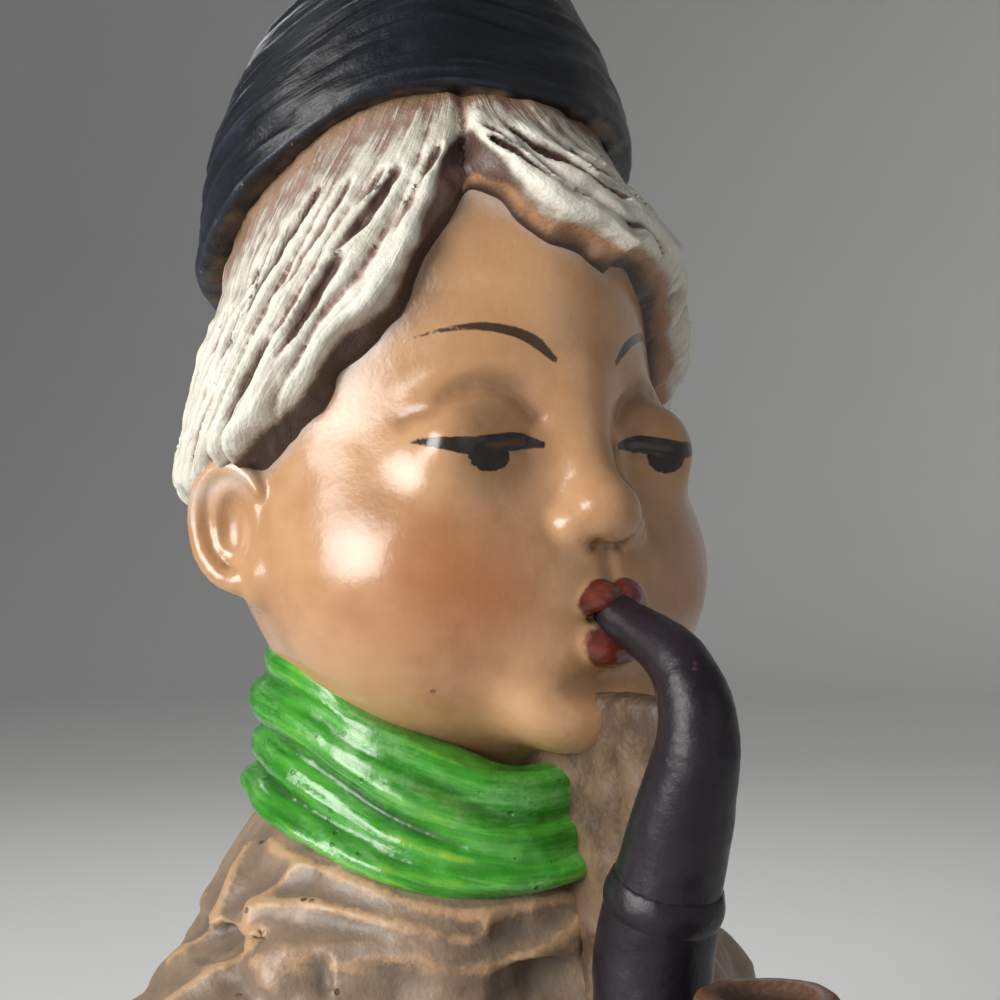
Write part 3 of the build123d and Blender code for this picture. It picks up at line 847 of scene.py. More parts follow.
capShape = {
    "clay": ((-33, -34, 8), (33, 46, 64), 0.45),
    "foot": (0, 3.8, 14.0),  # mm from the eyes
    "lean": 8.0,             # degrees back
    "centre": 12.0,          # mm over the foot
    # degrees up from level, reach
    "dome": [(-25, 31.3), (-22.8, 31.0), (6.2, 27.6), (35.1, 29.7), (62.6, 34.1), (90, 35.0)],
    "drawn": 2.6,            # mm that the crown leans to the left and front
    "brimHeight": 31.0,
    "brimSlope": 26.5,
    "brush": 0.36,
}


def overBrim(x, y, z):
    slope = math.radians(capShape["brimSlope"])
    return y * math.sin(slope) + (z - capShape["brimHeight"] - brimHump(turnOf(x, y))) * math.cos(slope)


def sculptCap(material):
    shape = capShape
    clay = Clay(*shape["clay"])
    lean = math.radians(shape["lean"])
    angles, reaches = np.array(shape["dome"]).T

    def dome(x, y, z):
        dy, dz = y - shape["foot"][1], z - shape["foot"][2]
        up = dz * math.cos(lean) + dy * math.sin(lean) - shape["centre"]
        back = dy * math.cos(lean) - dz * math.sin(lean)
        drawn = shape["drawn"] * np.clip(up / 30, 0, 1.2) ** 2
        out = np.sqrt((x - drawn * 0.6) ** 2 + (back + drawn * 0.8) ** 2)
        return np.sqrt(out * out + up * up) - easeTable(np.degrees(np.arctan2(up, out)), angles, reaches)

    clay.press(dome)
    clay.press(lambda x, y, z: -overBrim(x, y, z), 1.6, smoothClip)
    points, quads = clay.skin()
    normals = meshNormals(points, quads)
    x, y, z = points.T.copy()
    over = overBrim(x, y, z)
    wave = over + 1.6 * softNoise(points, 14, 8) + 1.2 * np.sin(np.radians(turnOf(x, y)))
    spots = np.stack([x / strokeRun, y / strokeRun, wave], axis=1)
    brush = layered(spots, (1.0, (1, 1, 0.95), 9), (0.7, (0.6, 0.6, 2.1), 10))
    fade = smoothStep(over, 0.2, 1.5)
    strokes = fade * (shape["brush"] * brush + 0.3 * softNoise(points, 9, 11))
    points += normals * (strokes + 0.05 * softNoise(points, 1.2, 12))[:, None]
    points += normals * (0.10 * (1 - fade) * softNoise(points, 2.2, 13))[:, None]
    makePiece("capDome", points + eyeLevel, quads, material, "cap_paint", ["cap"],
              {"ridge": 5, "hollow": 30}, over=over, wave=wave)


def capPaint():
    p = Paint("capPaint")
    ridge, over = p.mark("ridge"), p.mark("over")
    fine = p.noise(2.0, 3)
    patch = p.noise(0.10, 3)
    streak = p.grain(p.around(110, p.mark("wave") * 1.25), 6.0, 0.62)
    brush = ridge * 3.2 + p.mark("hollow") * 0.5 + streak.sway(1.7) + fine.sway(0.4) + patch.sway(0.5)
    p.colour = patch.tint(0.35, 0.65, (0.004, 0.005, 0.007), (0.008, 0.010, 0.016))
    # Lighter navy and then blue-grey on the brushed ridges and streaks: painted highlights on the glossy
    # paint.
    p.lay(brush.over(0.15, 0.85) * 0.7, (0.026, 0.034, 0.056))
    p.lay(brush.over(0.62, 1.25) * 0.7, (0.15, 0.165, 0.20))
    chips = (p.noise(0.55, 4, 0.6) + ridge * 0.5 - over * 0.008).over(0.70, 0.76)
    p.lay(chips * 0.8, (0.24, 0.15, 0.085))
    bare = 1 - (over + p.noise(0.16, 2).sway(0.9)).over(-0.30, 0.10)
    p.lay(bare * 0.92, fine.tint(0.35, 0.7, (0.25, 0.155, 0.085), (0.35, 0.225, 0.13)))
    rough = 0.33 + p.noise(0.5, 4).sway(0.22) + bare * 0.35 + chips * 0.2
    height = streak + fine * 0.25 - chips * 0.4
    return p.finish(rough, height, 0.30, Specular_IOR_Level=0.35, Coat_Weight=0.12, Coat_Roughness=0.3)


scarfShape = {
    "clay": ((-30, -34, -56), (30, 30, -18), 0.42),
    "forward": 2.0,
    "core": (19.2, 3.6),  # radius and half width of the cloth behind the rolls
    # each roll: its radius and half width, then degrees from the front, height from the eyes, half height
    "rolls": [
        (19.6, 4.3, [
            (-140, -24.6, 3.2), (-105, -25.0, 3.0), (-82, -27.0, 2.6), (-66, -31.0, 2.5), (-50, -34.0, 2.5),
            (-36, -36.4, 2.7), (-20, -38.6, 3.2), (2, -38.4, 3.4), (20, -37.6, 3.4), (45, -34.6, 3.4),
            (90, -29.2, 3.4), (140, -25.4, 3.2), (180, -24.4, 3.2)]),
        (20.2, 5.2, [
            (-140, -29.6, 3.2), (-105, -29.6, 3.1), (-81, -32.2, 3.2), (-66, -35.0, 3.4), (-54, -37.5, 3.6),
            (-40, -40.4, 3.3), (-30, -42.2, 2.4), (-20, -42.8, 1.7), (2, -41.6, 1.8), (20, -41.2, 2.4),
            (45, -38.8, 3.0), (90, -33.8, 3.2), (140, -30.6, 3.2), (180, -29.6, 3.2)]),
        (20.2, 4.9, [
            (-140, -34.8, 3.2), (-105, -35.4, 3.3), (-84, -37.4, 3.4), (-66, -40.8, 3.2), (-50, -43.6, 2.4),
            (-36, -44.8, 1.9), (-17, -44.4, 2.2), (4, -43.4, 2.6), (20, -43.8, 2.5), (45, -42.6, 2.7),
            (90, -38.2, 3.0), (140, -35.4, 3.2), (180, -34.8, 3.2)]),
        (21.6, 5.0, [
            (-140, -40.0, 3.0), (-105, -40.2, 2.8), (-84, -42.2, 2.5), (-66, -44.6, 2.3), (-50, -46.6, 2.4),
            (-36, -47.4, 2.5), (-17, -46.8, 2.2), (4, -45.8, 1.8), (20, -46.6, 2.2), (45, -46.2, 2.4),
            (90, -42.4, 2.7), (140, -40.2, 3.0), (180, -39.8, 3.0)]),
    ],
}


def roundTable(rows, column, turn):
    # smooth closed curve through the values at turns from the front
    rows = np.array(rows, float)
    knots = np.concatenate([rows[:, 0] - 360, rows[:, 0], rows[:, 0] + 360])
    fine = np.arange(-180, 181, 2.0)
    return np.interp(turn, fine, easeTable(fine, knots, np.tile(rows[:, column], 3)))


def sculptScarf(material):
    shape = scarfShape
    rolls = shape["rolls"]
    clay = Clay(*shape["clay"])
    x, y, z = clay.points(clay.everywhere())
    turn = turnOf(x, y + shape["forward"])
    reach = np.sqrt(x * x + (y + shape["forward"]) ** 2)
    radius, half = shape["core"]
    top = roundTable(rolls[0][2], 1, turn)
    bottom = roundTable(rolls[-1][2], 1, turn)
    tall = np.abs(z - (top + bottom) / 2) - (top - bottom) / 2 - 1.2
    clay.distance[:] = np.maximum(np.abs(reach - radius) - half, tall)
    for radius, half, rows in rolls:
        height = roundTable(rows, 1, turn)
        tall = roundTable(rows, 2, turn)
        angle = np.radians(turn)
        wave = 0.35 * np.sin(angle * 5 + radius * 3) + 0.25 * np.sin(angle * 9 + half * 7)
        out, up = (reach - radius - wave) / half, (z - height) / tall
        share = np.sqrt(out ** 2 + up ** 2)
        slope = np.sqrt((out / half) ** 2 + (up / tall) ** 2)
        clay.distance[:] = smoothJoin(clay.distance, share * (share - 1) / np.maximum(slope, 1e-3), 1.3)
    points, quads = clay.skin()
    points = relaxed(points, quads, 1, 0.3)
    x, y, z = points.T
    turn = turnOf(x, y + shape["forward"])
    level = z - np.mean([roundTable(rows, 1, turn) for radius, half, rows in rolls], axis=0)
    spots = np.stack([x / strokeRun, y / strokeRun, level + 0.7 * softNoise(points, 8, 21)], axis=1)
    folds = layered(spots, (0.26, (1, 1, 1.3), 22), (0.14, (0.7, 0.7, 0.6), 23))
    dabs = layered(points, (0.12, 3.2, 25), (0.09, 1.5, 24))
    points = swelled(points, quads, folds + dabs)
    makePiece("scarfWraps", points + eyeLevel, quads, material, "scarf_paint", ["scarf"],
              {"ridge": 6, "hollow": 36}, level=level)


def scarfPaint():
    p = Paint("scarfPaint")
    fine = p.noise(1.8, 3)
    patch = p.noise(0.13, 3)
    streak = p.grain(p.around(90, p.mark("level") * 0.9), 5.0, 0.6)
    p.colour = (streak * 0.7 + patch * 0.3).tint(0.36, 0.62, (0.020, 0.185, 0.008), (0.062, 0.335, 0.030))
    # Pale blue-green patches placed at random: painted highlights on the glossy paint.
    paintedSheen = ((1 - patch) * 0.7 + streak * 0.5 + fine.sway(0.25)).over(0.58, 0.85)
    p.lay(paintedSheen * 0.6, (0.21, 0.47, 0.17))
    worn = (p.mark("ridge") * 2.6 + streak.sway(1.5) + patch.sway(0.9)).over(0.18, 0.75)
    p.lay(worn * 0.75, (0.26, 0.45, 0.030))
    # Dark green in the hollows of the folds: painted shade.
    deep = (fine.sway(0.12) - p.mark("hollow") + patch.sway(0.2)).over(0.10, 0.62)
    p.lay(deep * 0.9, (0.008, 0.050, 0.004))
    holes = p.specks(0.42, 0.16) * p.noise(0.16).over(0.47, 0.56)
    p.lay(holes * 0.7, (0.02, 0.10, 0.02))
    rough = 0.26 + p.noise(0.5, 4).sway(0.2) + deep * 0.2
    height = streak * 0.7 + fine * 0.3 - holes * 0.8
    return p.finish(rough, height, 0.16, Coat_Weight=0.30, Coat_Roughness=0.14)


torsoTable = [  # height over the standing surface, half width, reach to the front, reach to the back
    (1.5, 38.0, 28.0, 27.5),
    (22, 39.0, 30.0, 29.0),
    (43, 39.5, 30.0, 29.0),
    (56, 37.0, 28.5, 26.5),
    (65, 32.0, 26.8, 24.0),
    (73, 26.0, 24.5, 22.5),
    (79, 20.5, 20.5, 20.0),
]
sleeveTable = [  # height, offset from the middle, half width, reach to the front, reach to the back
    (1.5, 37.0, 10.5, 14.0, 13.0),
    (24, 37.5, 11.5, 14.5, 13.5),
    (44, 36.5, 11.0, 14.0, 13.0),
    (56, 33.5, 9.0, 12.0, 11.0),
    (63, 29.5, 5.5, 8.0, 7.0),
]
coatShape = {
    "clay": ((-52, -36, -1), (52, 36, 84), 0.59),
    "foot": 1.5,                 # mm over the standing surface
    "folds": 15,
    "depth": [(1.5, 2.2), (22, 2.6), (43, 2.6), (56, 2.2), (65, 1.2), (73, 0.6), (79, 0.0)],  # height, mm
    "sway": (5.5, 13.0, 2.4),    # degrees, mm of height for a radian, radians from fold to fold
    "collar": (66.0, 4.0, 1.2),  # edge height, slope in degrees, thickness
    # sharp folds over the chest and shoulders: degrees from the front and height, then mm proud
    "creases": [
        ([(-100, 74.1), (-93.6, 65.6), (-110.7, 56.6), (-118, 46)], 1.5),
        ([(-76.8, 73.3), (-82.3, 69), (-81.6, 67), (-76.5, 64.8)], 1.2),
        ([(-78.7, 65.2), (-89.2, 58.8), (-97, 47), (-100, 36)], 1.5),
        ([(-83.8, 68.9), (-71.2, 70.4), (-52.1, 69), (-39.8, 67.6), (-29.5, 66.8), (-26.9, 68.7)], 1.2),
        ([(-74.8, 63.9), (-62.6, 64.3), (-48.4, 64.2), (-24.1, 63.9), (-7.3, 66.9), (2.5, 68.9)], 1.4),
        ([(-92.2, 75.1), (-65.8, 73.2), (-44.8, 70.8), (-28.2, 69.2), (-11.9, 70.2), (5.2, 70.9)], 1.0),
        ([(-70, 58), (-52, 55), (-34, 56.5), (-16, 59)], 1.2),
        ([(100, 74), (94, 66), (110, 57), (118, 46)], 1.5),
        ([(77, 73), (82, 69), (80, 66), (70, 62)], 1.2),
        ([(78, 65), (90, 58), (98, 46), (102, 36)], 1.5),
        ([(84, 69), (70, 70), (50, 69), (34, 67), (20, 67)], 1.2),
        ([(74, 64), (56, 62.5), (38, 62), (18, 64), (8, 67)], 1.4),
        ([(150, 74), (138, 68), (120, 66)], 1.2),
        ([(-150, 74), (-138, 67), (-122, 65)], 1.2),
        ([(172, 70), (150, 64), (128, 60)], 1.3),
        ([(-176, 70), (-152, 63), (-130, 60)], 1.3),
    ],
    # lumps of clay: degrees from the front, height, mm sunk, radius, blend
    "lumps": [(-62.2, 58.4, 1.4, 3.2, 1.0), (-70.2, 62.4, 1.9, 3.2, 2.8)],
    "panels": (210, 51, 0.55),   # how many dished panels, seed, mm from the middle of a panel to its rim
}


def foldedTorso(x, y, z):
    # straight flanks between sharp ridges and hollows that sway on their way down
    count = coatShape["folds"]
    sway, period, step = coatShape["sway"]
    turn = turnOf(x, y)[:, :, 0]
    corners = np.arange(2 * count)
    flanks = []
    for level in z.ravel():
        angles = 180 + 180 / count * (corners + 0.5) + sway * np.sin(level / period + step * (corners // 2))
        flanks.append(np.interp(turn, angles, 0.5 - corners % 2, period=360))
    return loftDistance(x, y, z, torsoTable) - np.stack(flanks, axis=2) * lookUp(coatShape["depth"], z)


def onCoat(clay, turn, height, sink=0.0):
    # point of the skin at a turn from the front and a height, sunk a little
    out = np.array((math.sin(math.radians(turn)), -math.cos(math.radians(turn)), 0))
    reaches = np.arange(62, 12, -0.25)
    spots = np.array((0, 0, height)) + reaches[:, None] * out
    cells = np.rint((spots - clay.low) / clay.step).astype(int)
    cells = np.clip(cells, 0, np.array(clay.distance.shape) - 1)
    first = int(np.argmax(clay.distance[tuple(cells.T)] < 0))
    return spots[first] - sink * out


def foldPaths(clay):
    paths = []
    for spots, proud in coatShape["creases"]:
        path = np.array([onCoat(clay, turn, height) for turn, height in curveThrough(spots, 8)])
        for _ in range(6):
            path[1:-1] = (path[:-2] + 2 * path[1:-1] + path[2:]) / 4
        paths.append((path, proud))
    return paths


def foldMark(points, paths):
    # how close each point lies to the crest of a fold, in mm
    mark = np.full(len(points), unpainted)
    for path, proud in paths:
        low, high = path.min(axis=0) - 4, path.max(axis=0) + 4
        pick = np.flatnonzero(np.all((points > low) & (points < high), axis=1))
        mark[pick] = np.maximum(mark[pick], strokeMark(points[pick], path, np.zeros(len(path))))
    return mark


def pressCrease(clay, path, proud):
    # a sharp ridge with hollow flanks: the height falls off from the path like a folded edge
    reach = 5.5
    spans = clay.window(path.min(axis=0) - reach, path.max(axis=0) + reach)
    near = np.inf
    for a, b in zip(path, path[1:]):
        t, dx, dy, dz = fromSegment(*clay.points(spans), a, b)
        near = np.minimum(near, np.sqrt(dx * dx + dy * dy + dz * dz))
    edge = 0.62 * np.exp(-near / 0.7) - 0.34 * np.exp(-((near - 3.0) / 2.2) ** 2)
    clay.distance[spans] -= (proud * edge * (near < reach)).astype(np.float32)


def panelRelief(points):
    # flat dished panels that meet in thin ridges, long across the chest and upright lower down
    count, seed, depth = coatShape["panels"]
    draw = np.random.default_rng(seed)
    seeds = points[draw.integers(0, len(points), count)]
    stretch = np.full_like(points, 1 / 8.5)
    stretch[:, 2] = 1 / (5.0 + 9.0 * smoothStep(-points[:, 2], -60, -46))
    wobble = np.stack([softNoise(points, 5.0, 34 + i) for i in range(3)], axis=1) * 0.5
    nearest = np.full(len(points), 1e9)
    for seedPoint in seeds:
        nearest = np.minimum(nearest, np.sum(((points + wobble - seedPoint) * stretch) ** 2, axis=1))
    return depth * (np.clip(nearest * 1.3, 0, 1.6) - 0.5) * (1 - 0.8 * smoothStep(points[:, 2], 69, 73))


def sculptCoat(material):
    shape = coatShape
    clay = Clay(*shape["clay"])
    clay.press(foldedTorso)
    table = np.array(sleeveTable, float)
    for side in sides:
        def sleeve(x, y, z):
            middle = side * easeTable(z, table[:, 0], table[:, 1])
            return loftDistance(x - middle, y, z, table[:, [0, 2, 3, 4]])
        clay.press(sleeve, 3.0)
    edge, slope, thick = shape["collar"]
    raised = [(row[0],) + tuple(v + thick for v in row[1:]) for row in torsoTable]

    def collar(x, y, z):
        low = (edge + y * math.tan(math.radians(slope)) - z) * 0.9
        lap = np.abs(x - (z - edge) * 0.28) - 1.6
        opening = np.maximum(lap, y)
        return smoothClip(smoothClip(loftDistance(x, y, z, raised), low, 1.0), -opening, 1.0)

    clay.press(collar, 0.8)
    clay.even()
    for path, proud in foldPaths(clay):
        pressCrease(clay, path, proud)
    for turn, height, sink, radius, blend in shape["lumps"]:
        clay.ball(onCoat(clay, turn, height, sink), radius, blend)
    crests = foldPaths(clay)
    clay.press(lambda x, y, z: shape["foot"] - z, 0.8, smoothClip)
    points, quads = clay.skin()
    facets = layered(points, (0.12, 6.5, 31), (0.10, 3.1, 32), (0.07, 1.4, 33)) + panelRelief(points)
    points = swelled(points, quads, facets * smoothStep(points[:, 2], 1.6, 4.0))
    makePiece("coat", points, quads, material, "coat_paint", ["torso_casting", "coat_collar"],
              {"ridge": 5, "hollow": 40}, fold=foldMark(points, crests))


def coatPaint():
    p = Paint("coatPaint")
    ridge, hollow = p.mark("ridge"), p.mark("hollow")
    fine = p.noise(1.5, 4)
    patch = p.noise(0.09, 4)
    p.colour = (patch + fine.sway(0.2)).tint(0.36, 0.64, (0.185, 0.130, 0.088), (0.27, 0.19, 0.125))
    # Darker grey-brown in the hollows, away from the ridges: painted shade.
    hollowShade = (hollow * -0.8 - ridge * 1.2 + patch.sway(0.7) + fine.sway(0.25)).over(-0.05, 0.50)
    p.lay(hollowShade * 0.8, (0.105, 0.082, 0.062))
    crest = (p.mark("fold") + p.noise(0.5, 3).sway(2.2) + fine.sway(0.8)).over(-1.5, 0.0)
    brush = ridge * 2.6 + crest * 0.5 + hollow * 0.3 + p.noise(0.28, 4).sway(0.7) + fine.sway(0.35)
    p.lay(brush.over(0.12, 0.80) * 0.9, (0.45, 0.275, 0.145))
    pits = p.specks(0.30, 0.13) * p.noise(0.12).over(0.50, 0.58)
    p.lay(pits * 0.85, (0.05, 0.032, 0.022))
    rough = 0.46 + p.noise(0.4, 4).sway(0.24) + hollowShade * 0.14
    height = fine * 0.5 + p.noise(0.5) * 0.6 - pits * 0.8
    return p.finish(rough, height, 0.18, Coat_Weight=0.12, Coat_Roughness=0.25)


pipeShape = {
    "clay": 0.40,            # grid step
    # to the front, over the eyes
    "corners": [(25.5, -16.3), (46.4, -24.6), (36.9, -54.0), (36.9, -80.0), (54.0, -80.0)],
    "bends": [10.0, 24.0, 9.5],
    "mouthpiece": 43.5,      # length
    "taper": [(0, 2.4), (0.2, 2.6), (0.4, 3.4), (0.6, 4.5), (0.8, 5.5), (1.0, 5.9)],
    "shank": [(0, 6.2), (0.15, 6.4), (0.35, 6.4), (0.55, 6.3), (0.7, 6.1), (0.85, 5.9), (1.0, 5.6)],
    "overlap": (1.3, 0.6),   # how far stem and shank run past the joint
    "knuckle": (4.6, 6.0, 0.55),  # length, radius and thickness
    "bowlOut": 54.0,         # the bowl's middle, to the front
    "bowl": [(-86.6, 4.0), (-84.0, 6.6), (-78.0, 8.3), (-70.7, 8.6), (-62.0, 8.1), (-54.8, 7.4)],
    "dish": (5.0, 2.6),
}


def roundedRoute(corners, bends, step):
    # straight runs and tangent arcs through corners in the middle plane
    corners = [np.array((0, -front, up), float) for front, up in corners]
    route = [corners[0]]
    for before, corner, after, bend in zip(corners, corners[1:], corners[2:], bends):
        back = (before - corner) / np.linalg.norm(before - corner)
        on = (after - corner) / np.linalg.norm(after - corner)
        half = math.acos(np.clip(back @ on, -1, 1)) / 2
        inward = (back + on) / np.linalg.norm(back + on)
        middle = corner + inward * bend / math.sin(half)
        first = corner + back * bend / math.tan(half) - middle
        last = corner + on * bend / math.tan(half) - middle
        sweep = math.acos(np.clip(first @ last / bend ** 2, -1, 1))
        count = max(int(sweep * bend / step), 3)
        for i in range(count + 1):
            t = i / count
            arm = math.sin((1 - t) * sweep) * first + math.sin(t * sweep) * last
            route.append(middle + arm / math.sin(sweep))
    route.append(corners[-1])
    route = np.array(route)
    lengths = np.concatenate([[0], np.cumsum(np.linalg.norm(np.diff(route, axis=0), axis=1))])
    marks = np.linspace(0, lengths[-1], int(lengths[-1] / step) + 1)
    return np.stack([np.interp(marks, lengths, route[:, i]) for i in range(3)], axis=1), marks


def pipeBlock(path, room):
    return Clay(path.min(axis=0) - room, path.max(axis=0) + room, pipeShape["clay"])


def pipeSkin(name, clay, material, nodes, dent, isBowl=False):
    points, quads = clay.skin()
    points = swelled(points, quads, layered(points, (dent, 5.5, 41), (0.06, 1.7, 42)))
    out = np.hypot(points[:, 0], points[:, 1] + pipeShape["bowlOut"])
    rim = isBowl * smoothStep(points[:, 2], -58.2, -56.4) * (1 - smoothStep(out, 9.0, 9.8))
    char = isBowl * smoothStep(points[:, 2], -60, -58) * (1 - smoothStep(out, 3.0, 5.2))
    makePiece(name, points + eyeLevel, quads, material, "pipe_paint", nodes, {"ridge": 6}, rim=rim, char=char)


def sculptPipe(material):
    shape = pipeShape
    route, marks = roundedRoute(shape["corners"], shape["bends"], 1.2)
    joint = shape["mouthpiece"]
    radii = np.where(marks < joint, lookUp(shape["taper"], marks / joint),
                     lookUp(shape["shank"], (marks - joint) / (marks[-1] - joint)))
    past, before = shape["overlap"]
    stem = marks <= joint + past
    clay = pipeBlock(route[stem], 9)
    clay.rod(route[stem], radii[stem])
    pipeSkin("pipeMouthpiece", clay, material, ["pipe_mouthpiece"], 0.14)
    long, radius, thick = shape["knuckle"]
    band = route[np.abs(marks - joint) <= long / 2]
    clay = pipeBlock(band, 10)
    middle = np.interp(joint, marks, route[:, 1]), np.interp(joint, marks, route[:, 2])
    run = (band[-1] - band[0]) / np.linalg.norm(band[-1] - band[0])

    def knuckle(x, y, z):
        dy, dz = y - middle[0], z - middle[1]
        along = dy * run[1] + dz * run[2]
        across = np.sqrt(x * x + (dy * run[2] - dz * run[1]) ** 2)
        share = np.clip(np.abs(along) / (long / 2), 0, 1)
        return np.maximum(across - radius - thick * (1 - share ** 2) ** 1.5, np.abs(along) - long / 2)

    clay.press(knuckle)
    pipeSkin("pipeFerrule", clay, material, ["pipe_ferrule"], 0.10)
    shank = marks >= joint - before
    bowlOut = shape["bowlOut"]
    clay = pipeBlock(np.concatenate([route[shank], [(0, -bowlOut, -87.5), (0, -bowlOut - 9, -54)]]), 9)
    clay.rod(route[shank], radii[shank])
    heights, reaches = np.array(shape["bowl"]).T

    def cup(x, y, z):
        out = np.sqrt(x * x + (y + bowlOut) ** 2)
        ends = np.maximum(z - heights[-1], heights[0] - z)
        return smoothClip(out - easeTable(z, heights, reaches), ends, 1.6)

    clay.press(cup, 2.0)
    wide, deep = shape["dish"]
    clay.ball((0, -bowlOut, heights[-1] + 0.6), (wide, wide, deep + 0.6), 0.8, smoothCarve)
    pipeSkin("pipeBowl", clay, material, ["pipe_bowl"], 0.14, True)


def pipePaint():
    p = Paint("pipePaint")
    ridge, rim = p.mark("ridge"), p.mark("rim")
    fine = p.noise(1.6, 3)
    patch = p.noise(0.11, 4)
    p.colour = patch.tint(0.35, 0.65, (0.009, 0.007, 0.011), (0.017, 0.012, 0.018))
    p.lay((ridge * 1.5 + patch.sway(0.8) + fine.sway(0.5)).over(0.15, 0.7) * 0.6, (0.040, 0.028, 0.038))
    rubbed = (p.noise(0.24, 5, 0.65) + ridge * 0.6).over(0.66, 0.74)
    p.lay(rubbed * 0.7, (0.12, 0.062, 0.045))
    wood = (rim + p.noise(0.4, 4).sway(0.9) * rim).over(0.4, 0.7)
    p.lay(wood * 0.95, fine.tint(0.35, 0.65, (0.10, 0.048, 0.026), (0.16, 0.080, 0.045)))
    p.lay(p.mark("char") * 0.9, (0.022, 0.016, 0.014))
    rough = 0.38 + p.noise(0.35, 4).sway(0.26) + wood * 0.2
    height = p.noise(0.6, 4) * 0.7 + fine * 0.3
    return p.finish(rough, height, 0.14, Specular_IOR_Level=0.3, Coat_Weight=0.08, Coat_Roughness=0.3)


webShape = {
    "clay": ((-6, -46, -75), (6, -11, -24), 0.40),
    "thick": 4.4,
    # two flat quarters: (to the front, over the eyes)
    "quarters": [
        [(14, -27), (43.9, -27), (37.9, -54), (14, -54)],
        [(14, -52), (37.9, -52), (36.9, -72), (14, -72)],
    ],
}


def sculptWeb(material):
    clay = Clay(*webShape["clay"])
    for corners in webShape["quarters"]:
        def plate(x, y, z):
            inside = np.abs(x) - webShape["thick"] / 2
            for (f0, z0), (f1, z1) in zip(corners, corners[1:] + corners[:1]):
                run = math.hypot(f1 - f0, z1 - z0)
                out = ((y + f0) * (z1 - z0) + (z - z0) * (f1 - f0)) / run
                inside = smoothClip(inside, out, 1.6)
            return inside
        clay.press(plate, 1.2)
    points, quads = clay.skin()
    points = swelled(points, quads, layered(points, (0.35, 5, 51), (0.22, 2.4, 52), (0.08, 1.2, 53)))
    makePiece("pipeWeb", points + eyeLevel, quads, material, "bare_plaster", ["pipe_web"],
              {"ridge": 5, "hollow": 30})


def webPaint():
    p = Paint("webPaint")
    fine = p.noise(1.5, 4)
    patch = p.noise(0.16, 4)
    # The web's dark brown stands for the shade it lies in under the chin, and its hollows are darker again:
    # painted shade.
    p.colour = (patch + fine.sway(0.3)).tint(0.36, 0.64, (0.060, 0.036, 0.020), (0.15, 0.092, 0.052))
    webHollowShade = (p.mark("hollow") * -1.0 - p.mark("ridge") * 0.6 + patch.sway(0.6)).over(0.0, 0.5)
    p.lay(webHollowShade * 0.75, (0.055, 0.033, 0.020))
    return p.finish(0.5 + patch.sway(0.25), fine * 0.5 + patch * 0.5, 0.2, Coat_Weight=0.1)


feltShape = {
    "clay": ((-49, -29, -1.5), (49, 29, 3), 0.5),
    "thick": 1.5,
    "margin": 2.0,
}


def sculptFelt(material):
    clay = Clay(*feltShape["clay"])
    half = feltShape["thick"] / 2

    def column(reaches):
        return [(level, *(reach - feltShape["margin"] for reach in reaches)) for level in (-20, 20)]

    clay.press(lambda x, y, z: loftDistance(x, y, z, column(torsoTable[0][1:])))
    offset = sleeveTable[0][1]
    for side in sides:
        clay.press(lambda x, y, z: loftDistance(x - side * offset, y, z, column(sleeveTable[0][2:])), 1.0)
    clay.press(lambda x, y, z: np.abs(z - half) - half, 0.5, smoothClip)
    points, quads = clay.skin()
    rim = np.abs(meshNormals(points, quads)[:, 2]) < 0.7
    points = swelled(points, quads, rim * 0.12 * softNoise(points, 1.3, 61))
    felt = makePiece("feltPad", points, quads, material, "felt", ["felt_pad"], {})


def feltPaint():
    p = Paint("feltPaint")
    fibre = p.noise(2.6, 4, 0.65, stretch=(1, 0.35, 1), turn=(0, 0, 0.6))
    cross = p.noise(2.6, 4, 0.65, stretch=(0.35, 1, 1), turn=(0, 0, -0.4))
    fuzz = fibre * 0.5 + cross * 0.5
    p.colour = fuzz.tint(0.36, 0.62, (0.010, 0.032, 0.018), (0.030, 0.075, 0.045))
    return p.finish(0.95, fuzz, 0.25, Sheen_Weight=0.4)


buttonShape = {
    "radius": 4.2,
    "thick": 2.4,
    "rim": 0.7,
    "across": 16.0,
    "heights": [46.0, 22.0],
    "set": {"Size": 1.0, "Twist": 6.28, "Seed": 7},
}


def buttonOutline():
    # half outline of a dished button with a rounded rim: (out, up)
    r, t, rim = buttonShape["radius"], buttonShape["thick"], buttonShape["rim"]
    outline = [(r * 0.94, -2.0), (r, -0.4), (r, t - rim)]
    for step in range(1, 9):
        angle = math.radians(180 * step / 8)
        outline.append((r - rim + rim * math.cos(angle), t - rim + rim * math.sin(angle)))
    outline += [(r - 2 * rim - 0.2, t - rim - 0.25), (1.4, t - 1.3), (1.0, t - 1.0), (0.0, t - 0.9)]
    return outline


def turnedButton(name):
    bm = bmesh.new()
    ring = [bm.verts.new((out * mm, 0, up * mm)) for out, up in buttonOutline()]
    edges = [bm.edges.new(pair) for pair in zip(ring, ring[1:])]
    bmesh.ops.spin(bm, geom=ring + edges, cent=(0, 0, 0), axis=(0, 0, 1), angle=math.tau, steps=40)
    bmesh.ops.remove_doubles(bm, verts=bm.verts, dist=0.00001)
    bmesh.ops.recalc_face_normals(bm, faces=bm.faces)
    mesh = bpy.data.meshes.new(name)
    bm.to_mesh(mesh)
    bm.free()
    mesh.polygons.foreach_set("use_smooth", [True] * len(mesh.polygons))
    return addObject(name, mesh)


